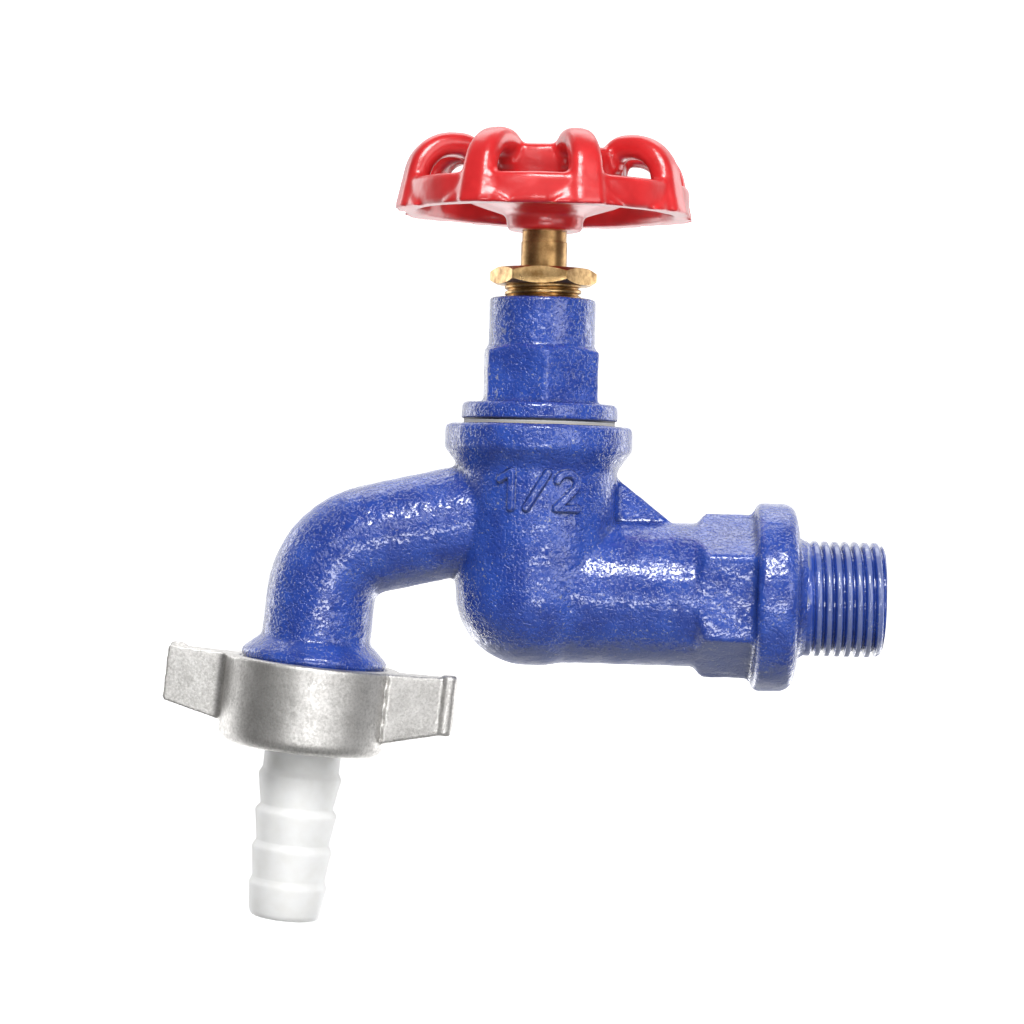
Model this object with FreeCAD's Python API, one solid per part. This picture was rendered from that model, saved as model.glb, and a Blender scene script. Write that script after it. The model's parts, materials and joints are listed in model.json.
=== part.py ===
import FreeCAD
import Part
import math
import os

# Half-inch bib tap with a hose union, in millimetres. The inlet thread lies along +X with its inner end
# at the origin, +Z is up, the upright barrel stands at x = -REACH and the spout points to -X.

# Clearances
RUN = 0.05            # radial clearance of what turns or slides
SEAT = 0.05           # radial clearance of what is pushed or screwed in and stays

# Inlet
INLET_THREAD_D = 20.955
INLET_THREAD_L = 13.8
INLET_CHAMFER = 1.0
INLET_BORE_D = 14.4
COLLAR_D = 34.2
COLLAR_L = 7.6
COLLAR_ROUND = 1.3
COLLAR_FACE_ROUND = 2.6
COLLAR_FILLET = 2.1
INLET_HEX_AF = 26.2
INLET_HEX_L = 10.7
INLET_HEX_TURN = 0.0   # angle of a corner from straight down
INLET_HEX_SLOPE = 1.8  # length of the slope at its inner end
HEX_ROUND = 0.8
ARM_D = 26.0
REACH = 49.5          # inner end of the inlet thread to the barrel's axis

# Barrel
BARREL_D = 29.0
BARREL_DROP = 13.6    # inlet axis to the barrel's lowest point
BARREL_ROUND = 13.4
FLANGE_D = 34.3
FLANGE_T = 4.4
FLANGE_CONE = 3.6     # height of the flare under the flange
BODY_TOP = 30.2       # inlet axis to the flange's face
WEB_T = 3.6
WEB_TOP = 21.2        # where the web's edge meets the barrel
WEB_REACH = 25.2      # barrel's axis to the web's foot on the arm
WEB_BITE = 0.4        # how far the web's edge starts inside the barrel and the arm

# Water way inside the barrel
LOWER_CHAMBER_D = 19.0
LOWER_CHAMBER_ROUND = 6.0
INLET_EASE_D = 12.0   # inlet bore where it enters the lower chamber
INLET_EASE_L = 6.0    # barrel's side to where the bore begins to narrow
INLET_EASE_BITE = 3.0
INLET_EASE_ROOF = 0.5 # partition to the narrow end's top
PARTITION_Z = 3.0     # underside of the partition above the inlet axis
PARTITION_T = 3.5
UPPER_CHAMBER_D = 22.0
FLOOR_WALL = 4.2

# Spout and outlet
SPOUT_D = 19.9
SPOUT_BORE_D = 13.0
SPOUT_ROOT_Z = 15.7   # spout's centre line at the barrel's axis
SPOUT_SLOPE = 13.4
SPOUT_REACH = 38.3    # barrel's axis to the bend's corner
SPOUT_BEND_R = 12.0
SPOUT_DROP = 20.1     # bend's corner to the rim, along the outlet axis
OUTLET_TILT = 5.0
OUTLET_THREAD_D = 26.441
OUTLET_THREAD_L = 8.1
RIM_STEP = 0.08       # thread's crest out to the rim's edge
RIM_T = 1.1
FLARE_L = 3.0
FLARE_ROUND = 5.0
RIM_GROOVE_DEPTH = 0.52
RIM_GROOVE_L = 0.8

# Seat and valve
SEAT_BORE_D = 12.0
SEAT_RING_D = 14.6
SEAT_LIP_D = 17.0
SEAT_LIP_T = 1.1
VALVE_D = 15.6
VALVE_WASHER_T = 3.0
JUMPER_PLATE_T = 2.0
JUMPER_STEM_D = 6.0
JUMPER_STEM_L = 9.5
JUMPER_STUD_D = 4.0
JUMPER_STUD_SHOWN = 0.6
WASHER_NUT_AF = 7.0
WASHER_NUT_T = 2.2

# Bonnet
GASKET_D = 27.6
GASKET_T = 0.95
SPIGOT_D = 24.0
SPIGOT_L = 9.2        # below the bonnet's flange
BONNET_FLANGE_D = 28.5
BONNET_FLANGE_T = 3.0
BONNET_STEP = 0.9
BONNET_HEX_AF = 20.2
BONNET_HEX_L = 9.2
BONNET_HEX_TURN = -85.0
BONNET_HEX_SLOPE = 2.2
BONNET_TOP_D = 19.4
BONNET_TOP_L = 9.0
LEDGE_T = 1.2
LEDGE_GAP = 0.5       # spindle's thread to the ledge with the valve fully open
THREAD_EASE = 1.2     # chamfer where the spindle's thread enters the bonnet
BOX_D = 12.2          # stuffing box

# Gland
PACKING_WASHER_T = 0.8
PACKING_RING_T = 1.4
PACKING_RINGS = 3
FOLLOWER_T = 1.0
GLAND_THREAD_D = 14.0
GLAND_SHOWN = 2.4     # thread seen between the bonnet and the nut's hexagon
GLAND_SCREWED = 5.0   # thread inside the bonnet
GLAND_HEX_AF = 17.0
GLAND_HEX_L = 3.05
GLAND_HEX_TURN = 56.0
GLAND_HEX_BEVEL = 0.6 # share of the corners' height that the chamfer takes

# Spindle
LIFT = 6.0            # travel of the valve
SPINDLE_FOOT_D = 10.0
SPINDLE_THREAD_D = 12.0
SPINDLE_THREAD_L = 10.5
SPINDLE_D = 8.4
SPINDLE_STEP_D = 8.1
SPINDLE_STEP_L = 1.9
SPINDLE_SHOWN = 6.75  # gland nut to the wheel's hub with the valve shut
SOCKET_END = 0.5      # jumper's stem to the end of its socket
SQUARE_AF = 6.2
SQUARE_SHORT = 0.3    # square's top below the boss, so that the washer grips the wheel
SQUARE_TURN = 45.0
STUD_D = 5.0
STUD_L = 7.0

# Handwheel
LOBES = 8
LOBE_START = -73.0    # angle of the first lobe from +X
HUB_D = 14.0
HUB_L = 6.9
CUP_D = 29.0
CUP_WALL = 2.6
CUP_CONE_Z = 2.8      # hub's underside to the cup's cone at the hub
CUP_CONE_RISE = 2.3
CUP_TOP = 14.8        # hub's underside to the cup's rim
BAND_Z = 2.9          # hub's underside to the band
BAND_H = 5.6
BAND_D = 52.4
BAND_WALL = 3.0
ARCH_T = 4.4
ARCH_TOP = 17.1       # hub's underside to the arches' top
ARCH_FOOT_D = 55.7
ARCH_LEAN = 2.6
ARCH_FOOT_W = 6.9
ARCH_HEAD_W = 4.7
ARCH_ROUND = 6.5
ARCH_INNER_ROUND = 3.4
ARCH_START = 2.0      # how far below the band each arch is swept before it is trimmed
ARCH_EDGE = 0.42      # rounding of its edges as a share of its thickness
FOOT_W = 14.0         # spread of an arch's foot at the band's underside
FOOT_H = 5.0
FOOT_KNEE = 2.4       # height of the foot's bend
FOOT_PROUD = 0.9      # foot's face outside the band at the underside

# Wheel fastening
WHEEL_WASHER_D = 12.0
WHEEL_WASHER_T = 1.0
SPRING_WASHER_D = 9.2
SPRING_WASHER_T = 1.2
SPRING_WASHER_GAP = 0.8
WHEEL_NUT_AF = 8.0
WHEEL_NUT_T = 3.6

# Hose union, along the outlet axis
UNION_INSET = 0.72    # thread's crest in to the edge of the washer and the tail's flange
UNION_WASHER_T = 2.5
TAIL_FLANGE_T = 2.5
TAIL_NECK_D = 14.0
TAIL_BORE_D = 9.5
NUT_TOP_GAP = 0.75    # rim's middle to the nut's top
NUT_FLOOR_T = 2.2
NUT_WALL = 2.5
NUT_FLOOR_GAP = 0.7   # tail's neck to the hole in the nut's floor
NUT_ROUND = 2.2
WING_SPAN = 53.4
WING_T = 3.4          # at the tip
WING_CHEEK = 0.6      # nut's axis to the straight cheek
WING_SLANT = 22.0     # angle of the other cheek
WING_DROP = 0.2       # nut's top to the wings' top at their roots
WING_RISE = 0.3       # the wings' top from root to tip
WING_ROOT_H = 12.6
WING_TIP_H = 10.1
WING_ROOT_ROUND = 1.6
WING_BEAD_D = 3.0
WING_BEAD_PROUD = 0.5  # bead above and below the tip
BARB_COUNT = 4
BARB_PITCH = 6.67
BARB_FIRST = 7.3      # tail's flange to the first crest
BARB_D = 15.2
BARB_LAST_D = 14.3
BARB_ROOT_D = 13.75
BARB_BACK = 0.8
TAIL_END_D = 13.0
TAIL_END_L = 6.1      # last crest to the tail's end

X = FreeCAD.Vector(1, 0, 0)
Y = FreeCAD.Vector(0, 1, 0)
Z = FreeCAD.Vector(0, 0, 1)
ORIGIN = FreeCAD.Vector(0, 0, 0)

# Levels above the inlet axis that follow from the sizes
SEAT_TOP = PARTITION_Z + PARTITION_T + SEAT_LIP_T
PLATE_TOP = SEAT_TOP + VALVE_WASHER_T + JUMPER_PLATE_T
BONNET_SEAT = BODY_TOP + GASKET_T
HEX_Z = BONNET_SEAT + BONNET_FLANGE_T + BONNET_STEP
BONNET_TOP = HEX_Z + BONNET_HEX_L + BONNET_TOP_L
GLAND_HEX_Z = BONNET_TOP + GLAND_SHOWN
GLAND_TOP = GLAND_HEX_Z + GLAND_HEX_L
HUB_Z = GLAND_TOP + SPINDLE_SHOWN
PACKING_H = PACKING_WASHER_T + PACKING_RINGS * PACKING_RING_T + FOLLOWER_T
BOX_Z = BONNET_TOP - GLAND_SCREWED - PACKING_H
LEDGE_Z = BOX_Z - LEDGE_T
THREAD_TOP = LEDGE_Z - LIFT - LEDGE_GAP
THREAD_BOTTOM = THREAD_TOP - SPINDLE_THREAD_L
SQUARE_TOP = HUB_Z + HUB_L - SQUARE_SHORT

# Outlet frame: its +Z runs down and out of the spout, its origin is the rim's centre
SPOUT_CORNER = FreeCAD.Vector(
    -REACH - SPOUT_REACH, 0, SPOUT_ROOT_Z - SPOUT_REACH * math.tan(math.radians(SPOUT_SLOPE)))
OUTLET_TURN = FreeCAD.Rotation(Y, 180 + OUTLET_TILT)
OUTLET_DIRECTION = OUTLET_TURN.multVec(Z)
RIM_CENTRE = SPOUT_CORNER + OUTLET_DIRECTION * SPOUT_DROP
OUTLET = FreeCAD.Placement(RIM_CENTRE, OUTLET_TURN)
SPOUT_END = RIM_T / 2 + RIM_GROOVE_L + OUTLET_THREAD_L
UNION_SEAT = SPOUT_END + UNION_WASHER_T
NUT_FLOOR = UNION_SEAT + TAIL_FLANGE_T
UNION_SEAL_D = OUTLET_THREAD_D - 2 * UNION_INSET
BARREL = FreeCAD.Placement(FreeCAD.Vector(-REACH, 0, 0), FreeCAD.Rotation())
INLET = FreeCAD.Placement(ORIGIN, FreeCAD.Rotation(Y, 90))


def rounded_wire(corners):
    """Closed wire through (point, radius) corners, with a tangent arc where the radius is above 0."""
    stops = []
    for index, (point, radius) in enumerate(corners):
        if not radius:
            stops.append((point, None, point))
            continue
        back = FreeCAD.Vector(corners[index - 1][0] - point).normalize()
        ahead = FreeCAD.Vector(corners[(index + 1) % len(corners)][0] - point).normalize()
        half = back.getAngle(ahead) / 2
        run = radius / math.tan(half)
        centre = point + FreeCAD.Vector(back + ahead).normalize() * (radius / math.sin(half))
        middle = centre + FreeCAD.Vector(point - centre).normalize() * radius
        stops.append((point + back * run, middle, point + ahead * run))
    edges = []
    for index, (start, middle, end) in enumerate(stops):
        if middle is not None:
            edges.append(Part.Arc(start, middle, end).toShape())
        following = stops[(index + 1) % len(stops)][0]
        if end.distanceToPoint(following) > 1e-6:
            edges.append(Part.LineSegment(end, following).toShape())
    return Part.Wire(edges)


def turned(corners, place=BARREL):
    """Solid turned about the Z axis of a place from (radius, height, rounding) corners."""
    wire = rounded_wire([(FreeCAD.Vector(c[0], 0, c[1]), c[2] if len(c) > 2 else 0) for c in corners])
    solid = Part.Face(wire).revolve(ORIGIN, Z, 360)
    return put(solid, place)


def ring(outer_d, inner_d, bottom, height, rounding=0, place=BARREL):
    """Plain ring with its four edges rounded alike."""
    outer, inner, top = outer_d / 2, inner_d / 2, bottom + height
    return turned([(inner, bottom, rounding), (outer, bottom, rounding),
                   (outer, top, rounding), (inner, top, rounding)], place)


def rod(diameter, bottom, height, place=BARREL):
    """Plain cylinder along the Z axis of a place."""
    return put(Part.makeCylinder(diameter / 2, height, FreeCAD.Vector(0, 0, bottom)), place)


def prism(across, sides, bottom, height, turn, rounding, place=BARREL):
    """Prism of a width across its flats, with one corner at the turn and its corners rounded."""
    reach = across / 2 / math.cos(math.pi / sides)
    corners = []
    for index in range(sides):
        angle = math.radians(turn) + 2 * math.pi * index / sides
        corners.append((FreeCAD.Vector(reach * math.cos(angle), reach * math.sin(angle), bottom), rounding))
    return put(Part.Face(rounded_wire(corners)).extrude(Z * height), place)


def put(shape, place):
    """Copy of a shape moved from its own frame to a place."""
    moved = shape.copy()
    moved.Placement = place.multiply(shape.Placement)
    return moved


def spout_path(start):
    """Spout's centre line from a distance along its slope to the rim."""
    slope = math.radians(SPOUT_SLOPE)
    first = FreeCAD.Vector(-REACH - start, 0, SPOUT_ROOT_Z - start * math.tan(slope))
    turn = math.pi / 2 - slope - math.radians(OUTLET_TILT)
    run = SPOUT_BEND_R * math.tan(turn / 2)
    back = FreeCAD.Vector(first - SPOUT_CORNER).normalize()
    bisector = FreeCAD.Vector(back + OUTLET_DIRECTION).normalize()
    centre = SPOUT_CORNER + bisector * (SPOUT_BEND_R / math.cos(turn / 2))
    bend_start = SPOUT_CORNER + back * run
    bend_end = SPOUT_CORNER + OUTLET_DIRECTION * run
    middle = centre - bisector * SPOUT_BEND_R
    return first, Part.Wire([
        Part.LineSegment(first, bend_start).toShape(),
        Part.Arc(bend_start, middle, bend_end).toShape(),
        Part.LineSegment(bend_end, RIM_CENTRE).toShape()])


def spout_tube(diameter, start):
    """Round bar along the spout's centre line."""
    first, path = spout_path(start)
    along = FreeCAD.Vector(SPOUT_CORNER - first).normalize()
    section = Part.Wire(Part.makeCircle(diameter / 2, first, along))
    return path.makePipeShell([section], True, True)


def outlet_collar():
    """Flare, rim, groove and blank for the outlet thread at the spout's end."""
    lip = RIM_T / 2
    thread = lip + RIM_GROOVE_L
    crest = OUTLET_THREAD_D / 2
    rim = crest + RIM_STEP
    groove = crest - RIM_GROOVE_DEPTH
    return turned([
        (0, -lip - FLARE_L), (SPOUT_D / 2, -lip - FLARE_L, FLARE_ROUND), (rim, -lip, 0),
        (rim, lip, 0.3), (groove, lip), (groove, thread), (crest, thread, 0.2),
        (crest, SPOUT_END - INLET_CHAMFER), (crest - INLET_CHAMFER, SPOUT_END), (0, SPOUT_END)], OUTLET)


def body_blank():
    """Outside of the body before its water way is cut."""
    side, flange = BARREL_D / 2, FLANGE_D / 2
    shoulder = BODY_TOP - FLANGE_T
    barrel = turned([
        (0, -BARREL_DROP), (side, -BARREL_DROP, BARREL_ROUND), (side, shoulder - FLANGE_CONE, 3.0),
        (flange, shoulder, 0.6), (flange, BODY_TOP, 0.8), (0, BODY_TOP)])
    collar_back = -COLLAR_FILLET - COLLAR_L
    hex_back = collar_back - INLET_HEX_L
    arm = rod(ARM_D, -REACH, REACH + hex_back + 1, INLET)
    hexagon = prism(INLET_HEX_AF, 6, hex_back, INLET_HEX_L + 1, INLET_HEX_TURN, HEX_ROUND, INLET)
    corner = INLET_HEX_AF / 2 / math.cos(math.pi / 6)
    slope = turned([
        (0, hex_back), (ARM_D / 2, hex_back), (corner, hex_back + INLET_HEX_SLOPE), (corner, collar_back + 1),
        (0, collar_back + 1)], INLET)
    hexagon = hexagon.common(slope)
    crest = INLET_THREAD_D / 2
    collar = turned([
        (0, collar_back), (COLLAR_D / 2, collar_back, COLLAR_ROUND),
        (COLLAR_D / 2, -COLLAR_FILLET, COLLAR_FACE_ROUND), (crest, -COLLAR_FILLET),
        (0, -COLLAR_FILLET)], INLET)
    cove = turned_cove(crest)
    thread = turned([
        (0, -COLLAR_FILLET), (crest, -COLLAR_FILLET), (crest, INLET_THREAD_L - INLET_CHAMFER),
        (crest - INLET_CHAMFER, INLET_THREAD_L), (0, INLET_THREAD_L)], INLET)
    web_foot = ARM_D / 2
    web = Part.Face(rounded_wire([
        (FreeCAD.Vector(0, -WEB_T / 2, 2), 0), (FreeCAD.Vector(WEB_REACH, -WEB_T / 2, 2), 0),
        (FreeCAD.Vector(WEB_REACH, -WEB_T / 2, web_foot - WEB_BITE), 0),
        (FreeCAD.Vector(side - WEB_BITE, -WEB_T / 2, WEB_TOP), 0),
        (FreeCAD.Vector(0, -WEB_T / 2, WEB_TOP), 0)]))
    web = put(web.extrude(Y * WEB_T), BARREL)
    spout = spout_tube(SPOUT_D, side / 4)
    return barrel.multiFuse([arm, hexagon, collar, cove, thread, web, spout, outlet_collar()])


def turned_cove(crest):
    """Hollow fillet between the collar's face and the inlet thread."""
    low = FreeCAD.Vector(crest, 0, 0)
    high = FreeCAD.Vector(crest + COLLAR_FILLET, 0, -COLLAR_FILLET)
    bow = COLLAR_FILLET * (1 - math.sqrt(0.5))
    middle = FreeCAD.Vector(crest + bow, 0, bow - COLLAR_FILLET)
    axis_low = FreeCAD.Vector(0, 0, 0)
    axis_high = FreeCAD.Vector(0, 0, -COLLAR_FILLET)
    wire = Part.Wire([
        Part.Arc(low, middle, high).toShape(), Part.LineSegment(high, axis_high).toShape(),
        Part.LineSegment(axis_high, axis_low).toShape(), Part.LineSegment(axis_low, low).toShape()])
    return put(Part.Face(wire).revolve(ORIGIN, Z, 360), INLET)


def water_way():
    """Everything that is hollow in the body."""
    chamber_r = LOWER_CHAMBER_D / 2
    floor = -BARREL_DROP + FLOOR_WALL
    lower = turned([
        (0, floor), (chamber_r, floor, LOWER_CHAMBER_ROUND), (chamber_r, PARTITION_Z, 1.0), (0, PARTITION_Z)])
    ease_z = PARTITION_Z - INLET_EASE_ROOF - INLET_EASE_D / 2
    ease_out = -REACH + BARREL_D / 2 + INLET_EASE_L
    ease_in = -REACH + chamber_r - INLET_EASE_BITE
    wide = Part.Wire(Part.makeCircle(INLET_BORE_D / 2, FreeCAD.Vector(ease_out, 0, 0), X))
    narrow = Part.Wire(Part.makeCircle(INLET_EASE_D / 2, FreeCAD.Vector(ease_in, 0, ease_z), X))
    ease = Part.makeLoft([wide, narrow], True, True)
    inlet = rod(INLET_BORE_D, ease_out, INLET_THREAD_L - ease_out + 1, INLET)
    seat_hole = rod(SEAT_RING_D + 2 * SEAT, PARTITION_Z - 0.5, PARTITION_T + 1)
    partition_top = PARTITION_Z + PARTITION_T
    spigot_foot = BONNET_SEAT - SPIGOT_L - 0.6
    upper = turned([
        (0, partition_top), (UPPER_CHAMBER_D / 2, partition_top, 2.0), (UPPER_CHAMBER_D / 2, spigot_foot),
        (SPIGOT_D / 2 + SEAT, spigot_foot + 0.4), (SPIGOT_D / 2 + SEAT, BODY_TOP + 1), (0, BODY_TOP + 1)])
    spout = spout_tube(SPOUT_BORE_D, UPPER_CHAMBER_D / 3)
    outlet = rod(SPOUT_BORE_D, -1, SPOUT_END + 2, OUTLET)
    return lower.multiFuse([ease, inlet, seat_hole, upper, spout, outlet])


def body_casting():
    """Cast iron body: barrel, spout, inlet arm, web and the partition inside."""
    return body_blank().cut(water_way())


def seat_ring():
    """Brass seat pressed in the partition."""
    lip = PARTITION_Z + PARTITION_T
    bore = SEAT_BORE_D / 2
    return turned([
        (bore, PARTITION_Z), (SEAT_RING_D / 2, PARTITION_Z), (SEAT_RING_D / 2, lip), (SEAT_LIP_D / 2, lip),
        (SEAT_LIP_D / 2, SEAT_TOP, 0.4), (bore, SEAT_TOP, 0.4)])


def valve_washer():
    """Rubber disc that closes the seat."""
    return ring(VALVE_D, JUMPER_STUD_D, SEAT_TOP, VALVE_WASHER_T, 0.3)


def jumper():
    """Brass valve plate with a stud below for the washer and a stem above."""
    plate = SEAT_TOP + VALVE_WASHER_T
    stud = JUMPER_STUD_D / 2
    stud_end = SEAT_TOP - WASHER_NUT_T - JUMPER_STUD_SHOWN
    stem = JUMPER_STEM_D / 2
    return turned([
        (0, stud_end), (stud, stud_end), (stud, plate),
        (VALVE_D / 2, plate), (VALVE_D / 2, PLATE_TOP, 0.5), (stem, PLATE_TOP),
        (stem, PLATE_TOP + JUMPER_STEM_L, 0.6), (0, PLATE_TOP + JUMPER_STEM_L)])


def washer_nut():
    """Small nut under the valve washer."""
    nut = prism(WASHER_NUT_AF, 6, SEAT_TOP - WASHER_NUT_T, WASHER_NUT_T, 0, 0)
    return nut.cut(rod(JUMPER_STUD_D, SEAT_TOP - WASHER_NUT_T - 1, WASHER_NUT_T + 2))


def bonnet_gasket():
    """Fibre ring between the flange and the bonnet."""
    return ring(GASKET_D, SPIGOT_D + 2 * SEAT, BODY_TOP, GASKET_T)


def bonnet():
    """Cast iron bonnet with its spigot, flange, hexagon, spindle thread and stuffing box."""
    spigot = BONNET_SEAT - SPIGOT_L
    flange_top = BONNET_SEAT + BONNET_FLANGE_T
    top_r = BONNET_TOP_D / 2
    outside = turned([
        (0, spigot), (SPIGOT_D / 2, spigot, 0.8), (SPIGOT_D / 2, BONNET_SEAT),
        (BONNET_FLANGE_D / 2, BONNET_SEAT),
        (BONNET_FLANGE_D / 2, flange_top, 0.9), (BONNET_HEX_AF / 2 + 0.6, flange_top, 0.5),
        (top_r, HEX_Z + 1), (top_r, BONNET_TOP, 0.5), (0, BONNET_TOP)])
    hexagon = prism(BONNET_HEX_AF, 6, flange_top, BONNET_HEX_L + BONNET_STEP, BONNET_HEX_TURN, 1.0)
    hex_top = HEX_Z + BONNET_HEX_L
    cone = turned([
        (0, flange_top - 1), (BONNET_FLANGE_D / 2, flange_top - 1),
        (BONNET_FLANGE_D / 2, hex_top - BONNET_HEX_SLOPE),
        (top_r - 0.2, hex_top + 0.2), (0, hex_top + 0.2)])
    bore = SPINDLE_THREAD_D / 2 + RUN
    hollow = turned([
        (0, spigot - 1), (bore + THREAD_EASE, spigot - 1), (bore + THREAD_EASE, spigot),
        (bore, spigot + THREAD_EASE), (bore, LEDGE_Z),
        (SPINDLE_D / 2 + RUN, LEDGE_Z), (SPINDLE_D / 2 + RUN, BOX_Z), (BOX_D / 2, BOX_Z),
        (BOX_D / 2, BOX_Z + PACKING_H - 0.2), (GLAND_THREAD_D / 2 + SEAT, BOX_Z + PACKING_H - 0.2),
        (GLAND_THREAD_D / 2 + SEAT, BONNET_TOP + 1), (0, BONNET_TOP + 1)])
    return outside.fuse(hexagon.common(cone)).cut(hollow)


def packing_washer():
    """Brass ring on the floor of the stuffing box."""
    return ring(BOX_D - 2 * SEAT, SPINDLE_D + 2 * RUN, BOX_Z, PACKING_WASHER_T)


def gland_packing():
    """Rings of graphite packing round the spindle."""
    rings = []
    for index in range(PACKING_RINGS):
        bottom = BOX_Z + PACKING_WASHER_T + index * PACKING_RING_T
        rings.append(ring(BOX_D - 2 * SEAT, SPINDLE_D + 2 * RUN, bottom, PACKING_RING_T, 0.35))
    return Part.makeCompound(rings)


def gland_follower():
    """Brass ring between the gland nut and the packing."""
    return ring(BOX_D - 2 * SEAT, SPINDLE_D + 2 * RUN, BOX_Z + PACKING_H - FOLLOWER_T, FOLLOWER_T)


def gland_nut():
    """Brass nut that presses the packing."""
    bottom = BOX_Z + PACKING_H
    hexagon = prism(GLAND_HEX_AF, 6, GLAND_HEX_Z, GLAND_HEX_L, GLAND_HEX_TURN, 0.3)
    flat, corner = GLAND_HEX_AF / 2, GLAND_HEX_AF / 2 / math.cos(math.pi / 6)
    bevel = (corner - flat) * GLAND_HEX_BEVEL
    lens = turned([
        (0, GLAND_HEX_Z), (flat, GLAND_HEX_Z), (corner, GLAND_HEX_Z + bevel), (corner, GLAND_TOP - bevel),
        (flat, GLAND_TOP), (0, GLAND_TOP)])
    thread = rod(GLAND_THREAD_D, bottom, GLAND_HEX_Z - bottom + 1)
    hole = rod(SPINDLE_D + 2 * RUN, bottom - 1, GLAND_TOP - bottom + 2)
    return hexagon.common(lens).fuse(thread).cut(hole)


def spindle():
    """Brass spindle: foot, thread, stem, square for the wheel and threaded end."""
    foot, thread, stem, step = SPINDLE_FOOT_D / 2, SPINDLE_THREAD_D / 2, SPINDLE_D / 2, SPINDLE_STEP_D / 2
    step_z = HUB_Z - SPINDLE_STEP_L
    turned_bar = turned([
        (0, PLATE_TOP), (foot, PLATE_TOP, 0.4), (foot, THREAD_BOTTOM), (thread, THREAD_BOTTOM, 0.5),
        (thread, THREAD_TOP, 0.5), (stem, THREAD_TOP), (stem, step_z, 0.1), (step, step_z),
        (step, HUB_Z), (0, HUB_Z)])
    square = prism(SQUARE_AF, 4, HUB_Z - 1, SQUARE_TOP - HUB_Z + 1, SQUARE_TURN, 0)
    square = square.common(rod(SPINDLE_STEP_D, HUB_Z - 1, SQUARE_TOP - HUB_Z + 1))
    stud = turned([
        (0, SQUARE_TOP - 1), (STUD_D / 2, SQUARE_TOP - 1), (STUD_D / 2, SQUARE_TOP + STUD_L, 0.6),
        (0, SQUARE_TOP + STUD_L)])
    socket = rod(JUMPER_STEM_D + 2 * RUN, PLATE_TOP - 1, 1 + JUMPER_STEM_L + SOCKET_END)
    return turned_bar.multiFuse([square, stud]).cut(socket)


def arch():
    """One arch of the wheel in the XZ plane, from the band over to the cup."""
    half = ARCH_T / 2
    foot_r = ARCH_FOOT_D / 2 - half
    top_z = HUB_Z + ARCH_TOP - half
    band_z = HUB_Z + BAND_Z
    cup_r = CUP_D / 2 - CUP_WALL / 2
    lean = ARCH_LEAN / (top_z - band_z)
    start = FreeCAD.Vector(foot_r + ARCH_START * lean, 0, band_z - ARCH_START)
    crown = FreeCAD.Vector(foot_r - ARCH_LEAN, 0, top_z)
    inner = FreeCAD.Vector(cup_r, 0, top_z)
    end = FreeCAD.Vector(cup_r, 0, HUB_Z + CUP_TOP - ARCH_T)
    path = open_path([(start, 0), (crown, ARCH_ROUND), (inner, ARCH_INNER_ROUND), (end, 0)])
    first = bar_section(start, FreeCAD.Vector(crown - start).normalize(), ARCH_FOOT_W)
    last = bar_section(end, FreeCAD.Vector(end - inner).normalize(), ARCH_HEAD_W)
    bar = path.makePipeShell([first, last], True, False)
    span = ARCH_FOOT_D
    above = Part.makeBox(2 * span, 2 * span, 2 * ARCH_TOP, FreeCAD.Vector(-span, -span, band_z))
    return bar.common(above)


def arch_foot():
    """Spread foot that runs one arch out into the band."""
    low = HUB_Z + BAND_Z
    outer = BAND_D / 2 + FOOT_PROUD
    lean = ARCH_LEAN / (ARCH_TOP - ARCH_T / 2 - BAND_Z)
    neck = ARCH_FOOT_W / 2 - FOOT_PROUD / 2
    knee = neck + FOOT_PROUD / 2
    corners = [(FOOT_W / 2, 0, 0), (knee, FOOT_KNEE, FOOT_KNEE), (neck, FOOT_H, 0)]
    mirrored = [(-side, height, rounding) for side, height, rounding in reversed(corners)]
    plan = rounded_wire([
        (FreeCAD.Vector(0, side, low + height), rounding) for side, height, rounding in corners + mirrored])
    block = Part.Face(plan).extrude(FreeCAD.Vector(outer, 0, 0))
    cone = Part.makeCone(outer, outer - FOOT_H * lean, FOOT_H, FreeCAD.Vector(0, 0, low))
    core = Part.makeCylinder((BAND_D - BAND_WALL) / 2, FOOT_H, FreeCAD.Vector(0, 0, low))
    return block.common(cone).cut(core)


def bar_section(centre, along, width):
    """Arch's cross-section: a rounded bar of a width across the wheel's rim."""
    out = FreeCAD.Vector(along.z, 0, -along.x) * (ARCH_T / 2)
    side = Y * (width / 2)
    rounding = min(ARCH_T, width) * ARCH_EDGE
    return rounded_wire([
        (centre + out + side, rounding), (centre - out + side, rounding),
        (centre - out - side, rounding), (centre + out - side, rounding)])


def open_path(corners):
    """Open wire through (point, radius) corners with tangent arcs."""
    edges = []
    last = corners[0][0]
    for index in range(1, len(corners) - 1):
        point, radius = corners[index]
        back = FreeCAD.Vector(corners[index - 1][0] - point).normalize()
        ahead = FreeCAD.Vector(corners[index + 1][0] - point).normalize()
        half = back.getAngle(ahead) / 2
        run = radius / math.tan(half)
        centre = point + FreeCAD.Vector(back + ahead).normalize() * (radius / math.sin(half))
        middle = centre + FreeCAD.Vector(point - centre).normalize() * radius
        edges.append(Part.LineSegment(last, point + back * run).toShape())
        edges.append(Part.Arc(point + back * run, middle, point + ahead * run).toShape())
        last = point + ahead * run
    edges.append(Part.LineSegment(last, corners[-1][0]).toShape())
    return Part.Wire(edges)


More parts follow.
